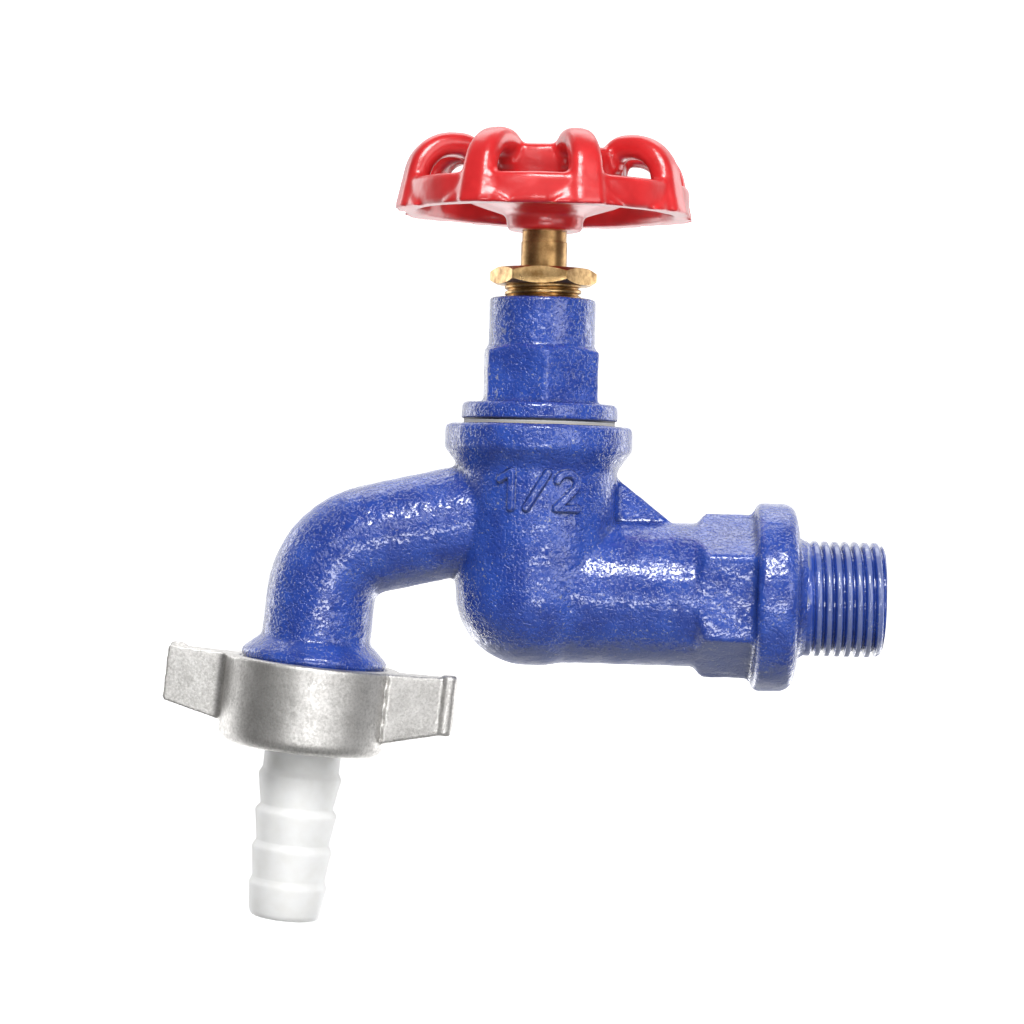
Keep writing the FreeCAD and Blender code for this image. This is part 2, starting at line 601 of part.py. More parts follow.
def handwheel():
    """Cast wheel: hub and cup, eight arches and the band that joins their feet."""
    hub, cup = HUB_D / 2, CUP_D / 2
    cone_low = HUB_Z + CUP_CONE_Z
    cone_high = cone_low + CUP_CONE_RISE
    rim = HUB_Z + CUP_TOP
    floor = HUB_Z + HUB_L
    cup_solid = turned([
        (0, HUB_Z), (hub, HUB_Z, 0.8), (hub, cone_low, 1.0), (cup, cone_high, 1.2), (cup, rim, 1.2),
        (cup - CUP_WALL, rim, 1.2), (cup - CUP_WALL, floor + 0.6, 1.4), (hub, floor, 1.0), (0, floor)])
    band_z = HUB_Z + BAND_Z
    band = ring(BAND_D, BAND_D - 2 * BAND_WALL, band_z, BAND_H, 0.9)
    arches = []
    for index in range(LOBES):
        turn = FreeCAD.Placement(ORIGIN, FreeCAD.Rotation(Z, LOBE_START + 360 * index / LOBES))
        arches += [put(put(piece, turn), BARREL) for piece in (arch(), arch_foot())]
    wheel = cup_solid.multiFuse([band] + arches)
    hole = prism(SQUARE_AF + 2 * SEAT, 4, HUB_Z - 1, HUB_L + 2, SQUARE_TURN, 0)
    hole = hole.common(rod(SPINDLE_STEP_D + 2 * SEAT, HUB_Z - 1, HUB_L + 2))
    return wheel.cut(hole)


def wheel_washer():
    """Plain washer on the wheel's boss."""
    return ring(WHEEL_WASHER_D, STUD_D + 2 * SEAT, HUB_Z + HUB_L, WHEEL_WASHER_T)


def wheel_spring_washer():
    """Split spring washer under the wheel's nut."""
    bottom = HUB_Z + HUB_L + WHEEL_WASHER_T
    whole = ring(SPRING_WASHER_D, STUD_D + 2 * SEAT, bottom, SPRING_WASHER_T)
    slit = Part.makeBox(SPRING_WASHER_D, SPRING_WASHER_GAP, SPRING_WASHER_T + 2,
                        FreeCAD.Vector(-REACH, -SPRING_WASHER_GAP / 2, bottom - 1))
    return whole.cut(slit)


def wheel_nut():
    """Hexagon nut on the spindle's threaded end."""
    bottom = HUB_Z + HUB_L + WHEEL_WASHER_T + SPRING_WASHER_T
    nut = prism(WHEEL_NUT_AF, 6, bottom, WHEEL_NUT_T, 0, 0)
    corner = WHEEL_NUT_AF / 2 / math.cos(math.pi / 6)
    bevel = corner - WHEEL_NUT_AF / 2
    lens = turned([
        (0, bottom), (corner, bottom), (corner, bottom + WHEEL_NUT_T - bevel),
        (WHEEL_NUT_AF / 2, bottom + WHEEL_NUT_T), (0, bottom + WHEEL_NUT_T)])
    return nut.common(lens).cut(rod(STUD_D + 2 * SEAT, bottom - 1, WHEEL_NUT_T + 2))


def hose_washer():
    """Rubber washer between the spout's end and the tail."""
    return ring(UNION_SEAL_D, SPOUT_BORE_D, SPOUT_END, UNION_WASHER_T, 0.3, OUTLET)


def hose_tail():
    """Nylon tail: flange, neck and barbs that each slope down to the next."""
    bore = TAIL_BORE_D / 2
    neck = TAIL_NECK_D / 2
    flange = UNION_SEAL_D / 2
    corners = [(bore, UNION_SEAT), (flange, UNION_SEAT, 0.4), (flange, NUT_FLOOR, 0.4), (neck, NUT_FLOOR)]
    first = NUT_FLOOR + BARB_FIRST
    root = BARB_ROOT_D / 2
    for index in range(BARB_COUNT):
        crest_s = first + index * BARB_PITCH
        share = index / max(1, BARB_COUNT - 1)
        crest_r = (BARB_D + (BARB_LAST_D - BARB_D) * share) / 2
        corners.append((neck if index == 0 else root, crest_s - BARB_BACK, 0.2))
        corners.append((crest_r, crest_s, 0.3))
    end = first + (BARB_COUNT - 1) * BARB_PITCH + TAIL_END_L
    corners.append((TAIL_END_D / 2, end, 0.8))
    corners.append((bore, end, 0.4))
    return turned(corners, OUTLET)


def wing_side():
    """Wing seen from its side, as a slab wider than the wing is thick."""
    top = NUT_TOP_GAP + WING_DROP
    tip = WING_SPAN / 2
    root = OUTLET_THREAD_D / 2 + RUN + NUT_WALL / 2
    depth = OUTLET_THREAD_D
    face = Part.Face(rounded_wire([
        (FreeCAD.Vector(root, -depth, top), 0), (FreeCAD.Vector(tip, -depth, top - WING_RISE), 0.6),
        (FreeCAD.Vector(tip, -depth, top - WING_RISE + WING_TIP_H), 0.8),
        (FreeCAD.Vector(root, -depth, top + WING_ROOT_H), 0)]))
    return face.extrude(Y * (2 * depth))


def hollow_root(nut_r, tip, inward, outward):
    """Arc between the nut's wall and a wing's cheek, as its points on the wall, midway and on the cheek."""
    offset = tip + outward * WING_ROOT_ROUND
    reach = nut_r + WING_ROOT_ROUND
    along = offset.dot(inward)
    centre = offset + inward * (-along - math.sqrt(along ** 2 - offset.dot(offset) + reach ** 2))
    on_wall = centre * (nut_r / reach)
    on_cheek = centre - outward * WING_ROOT_ROUND
    toward = FreeCAD.Vector(on_wall + on_cheek - centre * 2).normalize()
    return on_wall, centre + toward * WING_ROOT_ROUND, on_cheek


def wing_plan(nut_r):
    """Wing seen from above: one cheek straight out and one slanted, with hollow roots."""
    slant = math.radians(WING_SLANT)
    span = WING_SPAN / 2
    tips = (FreeCAD.Vector(span, -WING_CHEEK, 0), FreeCAD.Vector(span, WING_T - WING_CHEEK, 0))
    straight = hollow_root(nut_r, tips[0], X * -1, Y * -1)
    slanted = hollow_root(nut_r, tips[1], FreeCAD.Vector(-math.cos(slant), math.sin(slant), 0),
                          FreeCAD.Vector(math.sin(slant), math.cos(slant), 0))
    share = 1 - NUT_WALL / 2 / nut_r
    inner = (slanted[0] * share, straight[0] * share)
    middle = FreeCAD.Vector(inner[0] + inner[1]).normalize() * (nut_r * share)
    wire = Part.Wire([
        Part.Arc(*straight).toShape(), Part.LineSegment(straight[2], tips[0]).toShape(),
        Part.LineSegment(*tips).toShape(), Part.LineSegment(tips[1], slanted[2]).toShape(),
        Part.Arc(slanted[2], slanted[1], slanted[0]).toShape(),
        Part.LineSegment(slanted[0], inner[0]).toShape(), Part.Arc(inner[0], middle, inner[1]).toShape(),
        Part.LineSegment(inner[1], straight[0]).toShape()])
    return Part.Face(wire).extrude(Z * (2 * WING_ROOT_H))


def wing_bead():
    """Upright bead down the tip of a wing's slanted cheek."""
    top = NUT_TOP_GAP + WING_DROP - WING_RISE - WING_BEAD_PROUD
    half = WING_BEAD_D / 2
    height = WING_TIP_H + 2 * WING_BEAD_PROUD
    centre = FreeCAD.Vector(WING_SPAN / 2 - half, WING_T - WING_CHEEK, 0)
    return turned([(0, top), (half, top, 0.6), (half, top + height, 0.6), (0, top + height)],
                  FreeCAD.Placement(centre, FreeCAD.Rotation()))


def wing_nut():
    """Die-cast union nut with two wings."""
    bore = OUTLET_THREAD_D / 2 + RUN
    outer = bore + NUT_WALL
    bottom = NUT_FLOOR + NUT_FLOOR_T
    hole = TAIL_NECK_D / 2 + NUT_FLOOR_GAP
    shell = turned([
        (bore, NUT_TOP_GAP, 0.4), (outer, NUT_TOP_GAP, 0.5), (outer, bottom, NUT_ROUND),
        (hole, bottom, 0.5), (hole, NUT_FLOOR), (bore, NUT_FLOOR, 0.3)], FreeCAD.Placement())
    wing = wing_side().common(wing_plan(outer)).fuse(wing_bead())
    wings = [put(wing, FreeCAD.Placement(ORIGIN, FreeCAD.Rotation(Z, half_turn))) for half_turn in (0, 180)]
    return put(shell.multiFuse(wings), OUTLET)


PIECES = {
    "body_casting": body_casting,
    "seat_ring": seat_ring,
    "valve_washer": valve_washer,
    "jumper": jumper,
    "washer_nut": washer_nut,
    "bonnet_gasket": bonnet_gasket,
    "bonnet": bonnet,
    "packing_washer": packing_washer,
    "gland_packing": gland_packing,
    "gland_follower": gland_follower,
    "gland_nut": gland_nut,
    "spindle": spindle,
    "handwheel": handwheel,
    "wheel_washer": wheel_washer,
    "wheel_spring_washer": wheel_spring_washer,
    "wheel_nut": wheel_nut,
    "hose_washer": hose_washer,
    "hose_tail": hose_tail,
    "wing_nut": wing_nut,
}

os.makedirs("parts", exist_ok=True)
for name, make in PIECES.items():
    shape = make()
    if len(shape.Solids) == 1:
        shape = shape.Solids[0]
    shape.exportStep("parts/" + name + ".step")
    print(name, "solids", len(shape.Solids), "valid", shape.isValid(), "volume", round(shape.Volume, 1))
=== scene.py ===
"""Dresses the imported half-inch bib tap: enamelled cast iron, brass, die-cast zinc, nylon and rubber."""

import json
import logging
import math
from dataclasses import dataclass
from enum import Enum
from typing import Any, Callable

import bmesh
import bpy
from bmesh.types import BMesh, BMVert
from bpy.types import Material, Node, NodeSocket, NodeTree, Object
from mathutils import Matrix, Vector, noise


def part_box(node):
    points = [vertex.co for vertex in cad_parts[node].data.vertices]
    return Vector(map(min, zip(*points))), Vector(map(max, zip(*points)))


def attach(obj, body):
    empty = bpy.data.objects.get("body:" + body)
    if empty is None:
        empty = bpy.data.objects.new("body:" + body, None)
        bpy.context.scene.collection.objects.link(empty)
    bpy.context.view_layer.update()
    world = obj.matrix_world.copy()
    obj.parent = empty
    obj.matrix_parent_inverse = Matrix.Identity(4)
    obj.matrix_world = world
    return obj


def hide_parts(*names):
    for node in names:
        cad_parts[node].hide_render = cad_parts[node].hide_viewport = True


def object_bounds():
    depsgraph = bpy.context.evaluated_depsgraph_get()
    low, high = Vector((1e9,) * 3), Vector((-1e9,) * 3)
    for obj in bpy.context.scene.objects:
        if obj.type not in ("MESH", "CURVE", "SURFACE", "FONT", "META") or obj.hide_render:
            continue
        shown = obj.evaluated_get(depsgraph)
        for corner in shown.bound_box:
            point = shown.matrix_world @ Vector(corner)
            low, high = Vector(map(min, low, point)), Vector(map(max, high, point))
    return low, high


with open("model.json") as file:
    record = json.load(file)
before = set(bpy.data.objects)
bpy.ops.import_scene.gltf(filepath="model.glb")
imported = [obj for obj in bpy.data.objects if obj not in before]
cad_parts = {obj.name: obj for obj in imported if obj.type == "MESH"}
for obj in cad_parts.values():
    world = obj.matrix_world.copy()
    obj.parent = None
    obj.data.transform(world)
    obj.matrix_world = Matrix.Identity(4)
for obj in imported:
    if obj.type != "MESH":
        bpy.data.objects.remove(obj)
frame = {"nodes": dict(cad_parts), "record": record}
cad_low, cad_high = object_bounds()

log = logging.getLogger("tap")

Colour = tuple[float, float, float, float]
Links = dict[Any, NodeSocket]

MM = 0.001
FULL_TURN = 2 * math.pi
MERGE = 0.0005 * MM  # vertices closer than this are one
ENAMEL_IOR = 1.54


class Grain(Enum):
    """Height of the unevenness of a casting's skin, in metres."""

    SAND = 0.00008
    SMOOTH = 0.00004
    DIE = 0.00003


def mm(value: float) -> float:
    """Metres from millimetres."""
    return value * MM


def per_mm(size: float) -> float:
    """Scale of a pattern on Object coordinates whose features are this many millimetres apart."""
    return 1.0 / mm(size)


def srgb(hex_value: str) -> Colour:
    """Turns an sRGB hex value to linear colour.

    Args:
        hex_value: Six hex digits, with or without a leading hash.

    Returns:
        Linear red, green, blue and an alpha of 1.
    """
    digits = hex_value.lstrip("#")
    channels = [int(digits[index:index + 2], 16) / 255 for index in (0, 2, 4)]
    linear = [c / 12.92 if c <= 0.04045 else ((c + 0.055) / 1.055) ** 2.4 for c in channels]
    return (linear[0], linear[1], linear[2], 1.0)


def add_node(tree: NodeTree, kind: str, values: dict[Any, Any] | None = None,
             links: Links | None = None, stops: list[tuple[float, Colour]] | None = None,
             **settings: Any) -> Node:
    """Adds one node with its settings, socket values, links and colour stops.

    Args:
        tree: Node tree that takes the node.
        kind: Blender's name of the node's type.
        values: Socket name or index to its default value.
        links: Socket name or index to the output that feeds it.
        stops: Positions in rising order with their colours, for a colour ramp.
        settings: Attributes of the node itself.

    Returns:
        The new node.
    """
    made = tree.nodes.new(kind)
    for key, value in settings.items():
        setattr(made, key, value)
    for key, value in (values or {}).items():
        made.inputs[key].default_value = value
    for key, source in (links or {}).items():
        tree.links.new(source, made.inputs[key])
    for index, (position, colour) in enumerate(stops or []):
        elements = made.color_ramp.elements
        element = elements[index] if index < len(elements) else elements.new(position)
        element.position = position
        element.color = colour
    return made


def grey(level: float) -> Colour:
    """Linear grey of one level."""
    return (level, level, level, 1.0)


@dataclass(frozen=True)
class CastEnamel:
    """Glossy stoving enamel over sand-cast iron: a wet film that follows every grain of the sand."""

    name: str
    colour: str
    shade: str
    dust: str
    grain_mm: float = 0.5  # the sand's grains are about 0.2 mm, drawn coarser so that they show
    relief_mm: float = 0.07
    film_roughness: float = 0.13
    wear: float = 0.5
    # Paler colour where the casting faces down: thin dry overspray, and a painted reflection of the white
    # floor below
    overspray_and_reflection: str = "#6C748E"
    # Painted shade in the corners and hollows
    crevice_shade: str = "#10162F"
    worn_edge: str = "#8E93A0"
    cloud_mm: float = 6.0
    swell_mm: float = 1.3
    swell_share: float = 2.4

    def material(self) -> Material:
        """Builds the enamel.

        Returns:
            A material with mottled paint, undersides paled by dry overspray and a painted floor reflection,
            painted shade in the hollows, worn edges and a grain.
        """
        made, tree, shader, place = blank_material(
            self.name, {"IOR": ENAMEL_IOR, "Coat IOR": ENAMEL_IOR, "Coat Roughness": 0.06})
        # Broad clouds where the film runs thicker or thinner
        cloud = add_node(tree, "ShaderNodeTexNoise",
                         {"Scale": per_mm(self.cloud_mm), "Detail": 4.0, "Roughness": 0.55}, place)
        paint = add_node(tree, "ShaderNodeValToRGB", links={"Fac": cloud.outputs["Fac"]},
                         stops=[(0.36, srgb(self.shade)), (0.62, srgb(self.colour))])
        # Faces that point down turn paler: partly dry overspray, partly a painted reflection of the floor
        underside = self.underside_share(tree, place)
        below = add_node(tree, "ShaderNodeMix", {"B": srgb(self.overspray_and_reflection)},
                         {"Factor": underside, "A": paint.outputs["Color"]}, data_type="RGBA")
        dusty = add_node(tree, "ShaderNodeMix", {"B": srgb(self.dust)},
                         {"Factor": self.dust_share(tree, place, cloud.outputs["Fac"]),
                          "A": below.outputs["Result"]}, data_type="RGBA")
        # Painted shade darkens the corners and hollows, and the paint is rubbed off the sharpest edges
        bend = add_node(tree, "ShaderNodeNewGeometry").outputs["Pointiness"]
        hollow = add_node(tree, "ShaderNodeValToRGB", links={"Fac": bend},
                          stops=[(0.43, grey(0.85)), (0.49, grey(0.0))])
        crevice_shaded = add_node(tree, "ShaderNodeMix", {"B": srgb(self.crevice_shade)},
                         {"Factor": hollow.outputs["Color"], "A": dusty.outputs["Result"]}, data_type="RGBA")
        crest = add_node(tree, "ShaderNodeValToRGB", links={"Fac": bend},
                         stops=[(0.53, grey(0.0)), (0.6, grey(self.wear))])
        worn = add_node(tree, "ShaderNodeMix", {"B": srgb(self.worn_edge)},
                        {"Factor": crest.outputs["Color"], "A": crevice_shaded.outputs["Result"]}, data_type="RGBA")
        tree.links.new(worn.outputs["Result"], shader.inputs["Base Color"])
        # A clear gloss that is lost where the overspray is dry
        gloss = add_node(tree, "ShaderNodeMapRange",
                         {"From Min": 0.4, "From Max": 0.7, "To Min": self.film_roughness,
                          "To Max": self.film_roughness + 0.16}, {"Value": cloud.outputs["Fac"]})
        dry = add_node(tree, "ShaderNodeMath", {1: 0.6}, {0: underside, 2: gloss.outputs["Result"]},
                       operation="MULTIPLY_ADD")
        tree.links.new(dry.outputs["Value"], shader.inputs["Roughness"])
        film = add_node(tree, "ShaderNodeMapRange",
                        {"From Min": 0.0, "From Max": 0.4, "To Min": 0.6, "To Max": 0.0}, {"Value": underside})
        tree.links.new(film.outputs["Result"], shader.inputs["Coat Weight"])
        # The film bridges the sand's grains, so the skin is smooth swells with pits between them
        grain = add_node(tree, "ShaderNodeTexNoise",
                         {"Scale": per_mm(self.grain_mm), "Detail": 2.0, "Roughness": 0.45}, place)
        swell = add_node(tree, "ShaderNodeTexNoise", {"Scale": per_mm(self.swell_mm), "Detail": 1.0}, place)
        pits = add_node(tree, "ShaderNodeMapRange", {"From Min": 0.34, "From Max": 0.52},
                        {"Value": grain.outputs["Fac"]}, interpolation_type="SMOOTHSTEP")
        height = add_node(tree, "ShaderNodeMath", {1: self.swell_share},
                          {0: swell.outputs["Fac"], 2: pits.outputs["Result"]}, operation="MULTIPLY_ADD")
        bump = add_node(tree, "ShaderNodeBump", {"Strength": 1.0, "Distance": mm(self.relief_mm)},
                        {"Height": height.outputs["Value"]})
        tree.links.new(bump.outputs["Normal"], shader.inputs["Normal"])
        tree.links.new(bump.outputs["Normal"], shader.inputs["Coat Normal"])
        return made

    def underside_share(self, tree: NodeTree, place: Links) -> NodeSocket:
        """Share where the casting faces the ground: dry overspray, as it is sprayed from above, and a painted
        reflection of the white floor.

        Args:
            tree: Node tree of the enamel.
            place: Link that feeds Object coordinates.

        Returns:
            The share from 0 to 1.
        """
        facing = add_node(tree, "ShaderNodeNewGeometry").outputs["Normal"]
        split = add_node(tree, "ShaderNodeSeparateXYZ", links={"Vector": facing})
        ragged = add_node(tree, "ShaderNodeTexNoise", {"Scale": per_mm(0.9), "Detail": 4.0}, place)
        edge = add_node(tree, "ShaderNodeMath", {1: 0.5}, {0: ragged.outputs["Fac"], 2: split.outputs["Z"]},
                        operation="MULTIPLY_ADD")
        underside = add_node(tree, "ShaderNodeMapRange",
                        {"From Min": -0.36, "From Max": -0.56, "To Min": 0.0, "To Max": 0.6},
                        {"Value": edge.outputs["Value"]})
        return underside.outputs["Result"]

    def dust_share(self, tree: NodeTree, place: Links, patches: NodeSocket) -> NodeSocket:
        """Share of dust that clings to the film: fine specks that gather in patches.

        Args:
            tree: Node tree of the enamel.
            place: Link that feeds Object coordinates.
            patches: Broad pattern that says where the specks gather.

        Returns:
            The share from 0 to 1.
        """
        speck = add_node(tree, "ShaderNodeTexNoise", {"Scale": per_mm(0.6), "Detail": 3.0, "Roughness": 0.65},
                         place)
        spread = add_node(tree, "ShaderNodeMath", {1: 0.45}, {0: patches, 2: speck.outputs["Fac"]},
                          operation="MULTIPLY_ADD")
        share = add_node(tree, "ShaderNodeMapRange",
                         {"From Min": 0.87, "From Max": 0.96, "To Min": 0.0, "To Max": 0.75},
                         {"Value": spread.outputs["Value"]})
        return share.outputs["Result"]


@dataclass(frozen=True)
class DippedEnamel:
    """Thick glossy enamel dipped over a small casting: soft edges, slight orange peel and worn specks."""

    name: str
    colour: str
    shade: str
    chip: str
    # Painted shade in the corners and hollows
    hollow_shade: str = "#8E1218"
    peel_mm: float = 1.6
    cloud_mm: float = 9.0

    def material(self) -> Material:
        """Builds the enamel.

        Returns:
            A material with a deep glossy film, faint orange peel, a few chips and painted shade in the
            hollows.
        """
        made, tree, shader, place = blank_material(
            self.name, {"Roughness": 0.3, "IOR": ENAMEL_IOR, "Coat Weight": 0.4, "Coat Roughness": 0.17})
        cloud = add_node(tree, "ShaderNodeTexNoise", {"Scale": per_mm(self.cloud_mm), "Detail": 3.0}, place)
        paint = add_node(tree, "ShaderNodeValToRGB", links={"Fac": cloud.outputs["Fac"]},
                         stops=[(0.38, srgb(self.shade)), (0.6, srgb(self.colour))])
        # A few dark specks where the film is chipped
        speck = add_node(tree, "ShaderNodeTexNoise", {"Scale": per_mm(1.1), "Detail": 3.0, "Roughness": 0.65},
                         place)
        chips = add_node(tree, "ShaderNodeValToRGB", links={"Fac": speck.outputs["Fac"]},
                         stops=[(0.735, grey(0.0)), (0.76, grey(0.7))])
        chipped = add_node(tree, "ShaderNodeMix", {"B": srgb(self.chip)},
                           {"Factor": chips.outputs["Color"], "A": paint.outputs["Color"]}, data_type="RGBA")
        # Painted shade: the corners and hollows are a deeper red
        bend = add_node(tree, "ShaderNodeNewGeometry").outputs["Pointiness"]
        hollow = add_node(tree, "ShaderNodeValToRGB", links={"Fac": bend},
                          stops=[(0.44, grey(0.7)), (0.49, grey(0.0))])
        deep = add_node(tree, "ShaderNodeMix", {"B": srgb(self.hollow_shade)},
                        {"Factor": hollow.outputs["Color"], "A": chipped.outputs["Result"]}, data_type="RGBA")
        tree.links.new(deep.outputs["Result"], shader.inputs["Base Color"])
        peel = add_node(tree, "ShaderNodeTexNoise", {"Scale": per_mm(self.peel_mm), "Detail": 1.5}, place)
        bump = add_node(tree, "ShaderNodeBump", {"Strength": 0.7, "Distance": mm(0.08)},
                        {"Height": peel.outputs["Fac"]})
        tree.links.new(bump.outputs["Normal"], shader.inputs["Normal"])
        tree.links.new(bump.outputs["Normal"], shader.inputs["Coat Normal"])
        return made


@dataclass(frozen=True)
class TurnedMetal:
    """Machined metal turned on a lathe: fine rings round the axis, worn brighter in places."""

    name: str
    bright: str
    dull: str
    axis_at: tuple[float, float, float]
    ring_mm: float = 0.35  # real rings are about 0.15 mm apart, drawn coarser so that they show
    roughness: float = 0.26
    tarnish: float = 0.14

    def material(self) -> Material:
        """Builds the metal.

        Returns:
            A metal with turning rings along Z and cloudy tarnish.
        """
        made, tree, shader, place = blank_material(self.name, {"Metallic": 1.0})
        centred = add_node(tree, "ShaderNodeMapping", {"Location": tuple(-c for c in self.axis_at)}, place)
        stretched = add_node(tree, "ShaderNodeMapping", {"Scale": (0.06, 0.06, 1.0)},
                             {"Vector": centred.outputs["Vector"]})
        rings = add_node(tree, "ShaderNodeTexNoise", {"Scale": per_mm(self.ring_mm), "Detail": 2.0},
                         {"Vector": stretched.outputs["Vector"]})
        cloud = add_node(tree, "ShaderNodeTexNoise", {"Scale": per_mm(2.4), "Detail": 5.0, "Roughness": 0.65},
                         place)
        colour = add_node(tree, "ShaderNodeValToRGB", links={"Fac": cloud.outputs["Fac"]},
                          stops=[(0.36, srgb(self.dull)), (0.63, srgb(self.bright))])
        tree.links.new(colour.outputs["Color"], shader.inputs["Base Color"])
        rough = add_node(tree, "ShaderNodeMapRange",
                         {"From Min": 0.3, "From Max": 0.7, "To Min": self.roughness + self.tarnish,
                          "To Max": self.roughness}, {"Value": cloud.outputs["Fac"]})
        tree.links.new(rough.outputs["Result"], shader.inputs["Roughness"])
        bump = add_node(tree, "ShaderNodeBump", {"Strength": 0.5, "Distance": mm(0.03)},
                        {"Height": rings.outputs["Fac"]})
        tree.links.new(bump.outputs["Normal"], shader.inputs["Normal"])
        return made


@dataclass(frozen=True)
class DieCastZinc:
    """Zinc alloy as it leaves the die: a mottled grey skin with flow marks and bright scuffs."""

    name: str
    light: str
    dark: str
    scuff: str = "#EFEEEC"
    smooth: float = 0.42
    matte: float = 0.54

    def material(self) -> Material:
        """Builds the alloy.

        Returns:
            A metal with a fine mottle in colour, roughness and bump.
        """
        made, tree, shader, place = blank_material(self.name, {"Metallic": 1.0})
        mottle = add_node(tree, "ShaderNodeTexNoise", {"Scale": per_mm(0.5), "Detail": 4.0, "Roughness": 0.6},
                          place)
        flow = add_node(tree, "ShaderNodeTexNoise", {"Scale": per_mm(5.0), "Detail": 3.0, "Distortion": 0.8},
                        place)
        both = add_node(tree, "ShaderNodeMath", {1: 0.5}, {0: flow.outputs["Fac"], 2: mottle.outputs["Fac"]},
                        operation="MULTIPLY_ADD")
        skin = add_node(tree, "ShaderNodeValToRGB", links={"Fac": both.outputs["Value"]},
                        stops=[(0.55, srgb(self.dark)), (0.92, srgb(self.light))])
        # Thin bright lines where other castings have rubbed on it
        scuffs = add_node(tree, "ShaderNodeTexNoise",
                          {"Scale": per_mm(1.6), "Detail": 3.0, "Distortion": 2.5}, place)
        scuff = add_node(tree, "ShaderNodeValToRGB", links={"Fac": scuffs.outputs["Fac"]},
                         stops=[(0.485, grey(0.0)), (0.5, grey(0.6)), (0.515, grey(0.0))])
        scuffed = add_node(tree, "ShaderNodeMix", {"B": srgb(self.scuff)},
                           {"Factor": scuff.outputs["Color"], "A": skin.outputs["Color"]}, data_type="RGBA")
        tree.links.new(scuffed.outputs["Result"], shader.inputs["Base Color"])
        rough = add_node(tree, "ShaderNodeMapRange",
                         {"From Min": 0.35, "From Max": 0.65, "To Min": self.matte, "To Max": self.smooth},
                         {"Value": mottle.outputs["Fac"]})
        tree.links.new(rough.outputs["Result"], shader.inputs["Roughness"])
        bump = add_node(tree, "ShaderNodeBump", {"Strength": 0.6, "Distance": mm(0.06)},
                        {"Height": both.outputs["Value"]})
        tree.links.new(bump.outputs["Normal"], shader.inputs["Normal"])
        return made


@dataclass(frozen=True)
class MouldedNylon:
    """Natural nylon moulding: milky, lit through its wall, with a waxy gloss."""

    name: str
    colour: str
    cloud: str = "#F3F3F0"
    roughness: float = 0.42
    ior: float = 1.53
    depth_mm: float = 4.0

    def material(self) -> Material:
        """Builds the nylon.

        Returns:
            A translucent white plastic with a faint cloudiness.
        """
        made, tree, shader, place = blank_material(self.name, {
            "Roughness": self.roughness, "IOR": self.ior, "Subsurface Weight": 0.8,
            "Subsurface Radius": (1.0, 1.0, 1.0), "Subsurface Scale": mm(self.depth_mm),
            "Transmission Weight": 0.1})
        cloud = add_node(tree, "ShaderNodeTexNoise", {"Scale": per_mm(3.5), "Detail": 3.0}, place)
        colour = add_node(tree, "ShaderNodeValToRGB", links={"Fac": cloud.outputs["Fac"]},
                          stops=[(0.35, srgb(self.cloud)), (0.65, srgb(self.colour))])
        tree.links.new(colour.outputs["Color"], shader.inputs["Base Color"])
        bump = add_node(tree, "ShaderNodeBump", {"Strength": 0.4, "Distance": mm(0.08)},
                        {"Height": cloud.outputs["Fac"]})
        tree.links.new(bump.outputs["Normal"], shader.inputs["Normal"])
        return made


@dataclass(frozen=True)
class SoftSeal:
    """Rubber or graphite seal: matte, with a fine pressed grain."""

    name: str
    colour: str
    shade: str
    grain_mm: float = 0.5  # the pressed grain is finer, drawn coarser so that it shows
    roughness: float = 0.6

    def material(self) -> Material:
        """Builds the seal's material.

        Returns:
            A matte material with a fine grain.
        """
        made, tree, shader, place = blank_material(self.name, {"Roughness": self.roughness})
        grain = add_node(tree, "ShaderNodeTexNoise", {"Scale": per_mm(self.grain_mm), "Detail": 3.0}, place)
        colour = add_node(tree, "ShaderNodeValToRGB", links={"Fac": grain.outputs["Fac"]},
                          stops=[(0.35, srgb(self.shade)), (0.65, srgb(self.colour))])
        tree.links.new(colour.outputs["Color"], shader.inputs["Base Color"])
        bump = add_node(tree, "ShaderNodeBump", {"Strength": 0.5, "Distance": mm(0.05)},
                        {"Height": grain.outputs["Fac"]})
        tree.links.new(bump.outputs["Normal"], shader.inputs["Normal"])
        return made


@dataclass(frozen=True)
class ShadowLinedGasket:
    """Pressed fibre gasket: its edge shows grey, pale and cream layers, with a painted shadow line along the
    top.
    """

    name: str
    low: float
    high: float
    # Heights up the edge and their colours; the darkest, at the top, is a painted shadow line under the
    # bonnet's flange
    layers: tuple[tuple[float, str], ...] = ((0.1, "#A79D86"), (0.34, "#C9C3B4"), (0.46, "#9C9B98"),
                                             (0.62, "#D2D0CB"), (0.72, "#8C8D8C"), (0.8, "#1D2030"))

    def material(self) -> Material:
        """Builds the gasket's material.

        Returns:
            A matte material in layers up the gasket's edge, with a painted shadow line at the top and a
            fibrous grain.
        """
        made, tree, shader, place = blank_material(self.name, {"Roughness": 0.45})
        fibre = add_node(tree, "ShaderNodeTexNoise", {"Scale": per_mm(0.4), "Detail": 3.0}, place)
        split = add_node(tree, "ShaderNodeSeparateXYZ", links=place)
        level = add_node(tree, "ShaderNodeMapRange", {"From Min": self.low, "From Max": self.high},
                         {"Value": split.outputs["Z"]})
        uneven = add_node(tree, "ShaderNodeMath", {1: 0.16},
                          {0: fibre.outputs["Fac"], 2: level.outputs["Result"]}, operation="MULTIPLY_ADD")
        layers = add_node(tree, "ShaderNodeValToRGB", links={"Fac": uneven.outputs["Value"]},
                          stops=[(height, srgb(colour)) for height, colour in self.layers])
        tree.links.new(layers.outputs["Color"], shader.inputs["Base Color"])
        bump = add_node(tree, "ShaderNodeBump", {"Strength": 0.5, "Distance": mm(0.05)},
                        {"Height": fibre.outputs["Fac"]})
        tree.links.new(bump.outputs["Normal"], shader.inputs["Normal"])
        return made


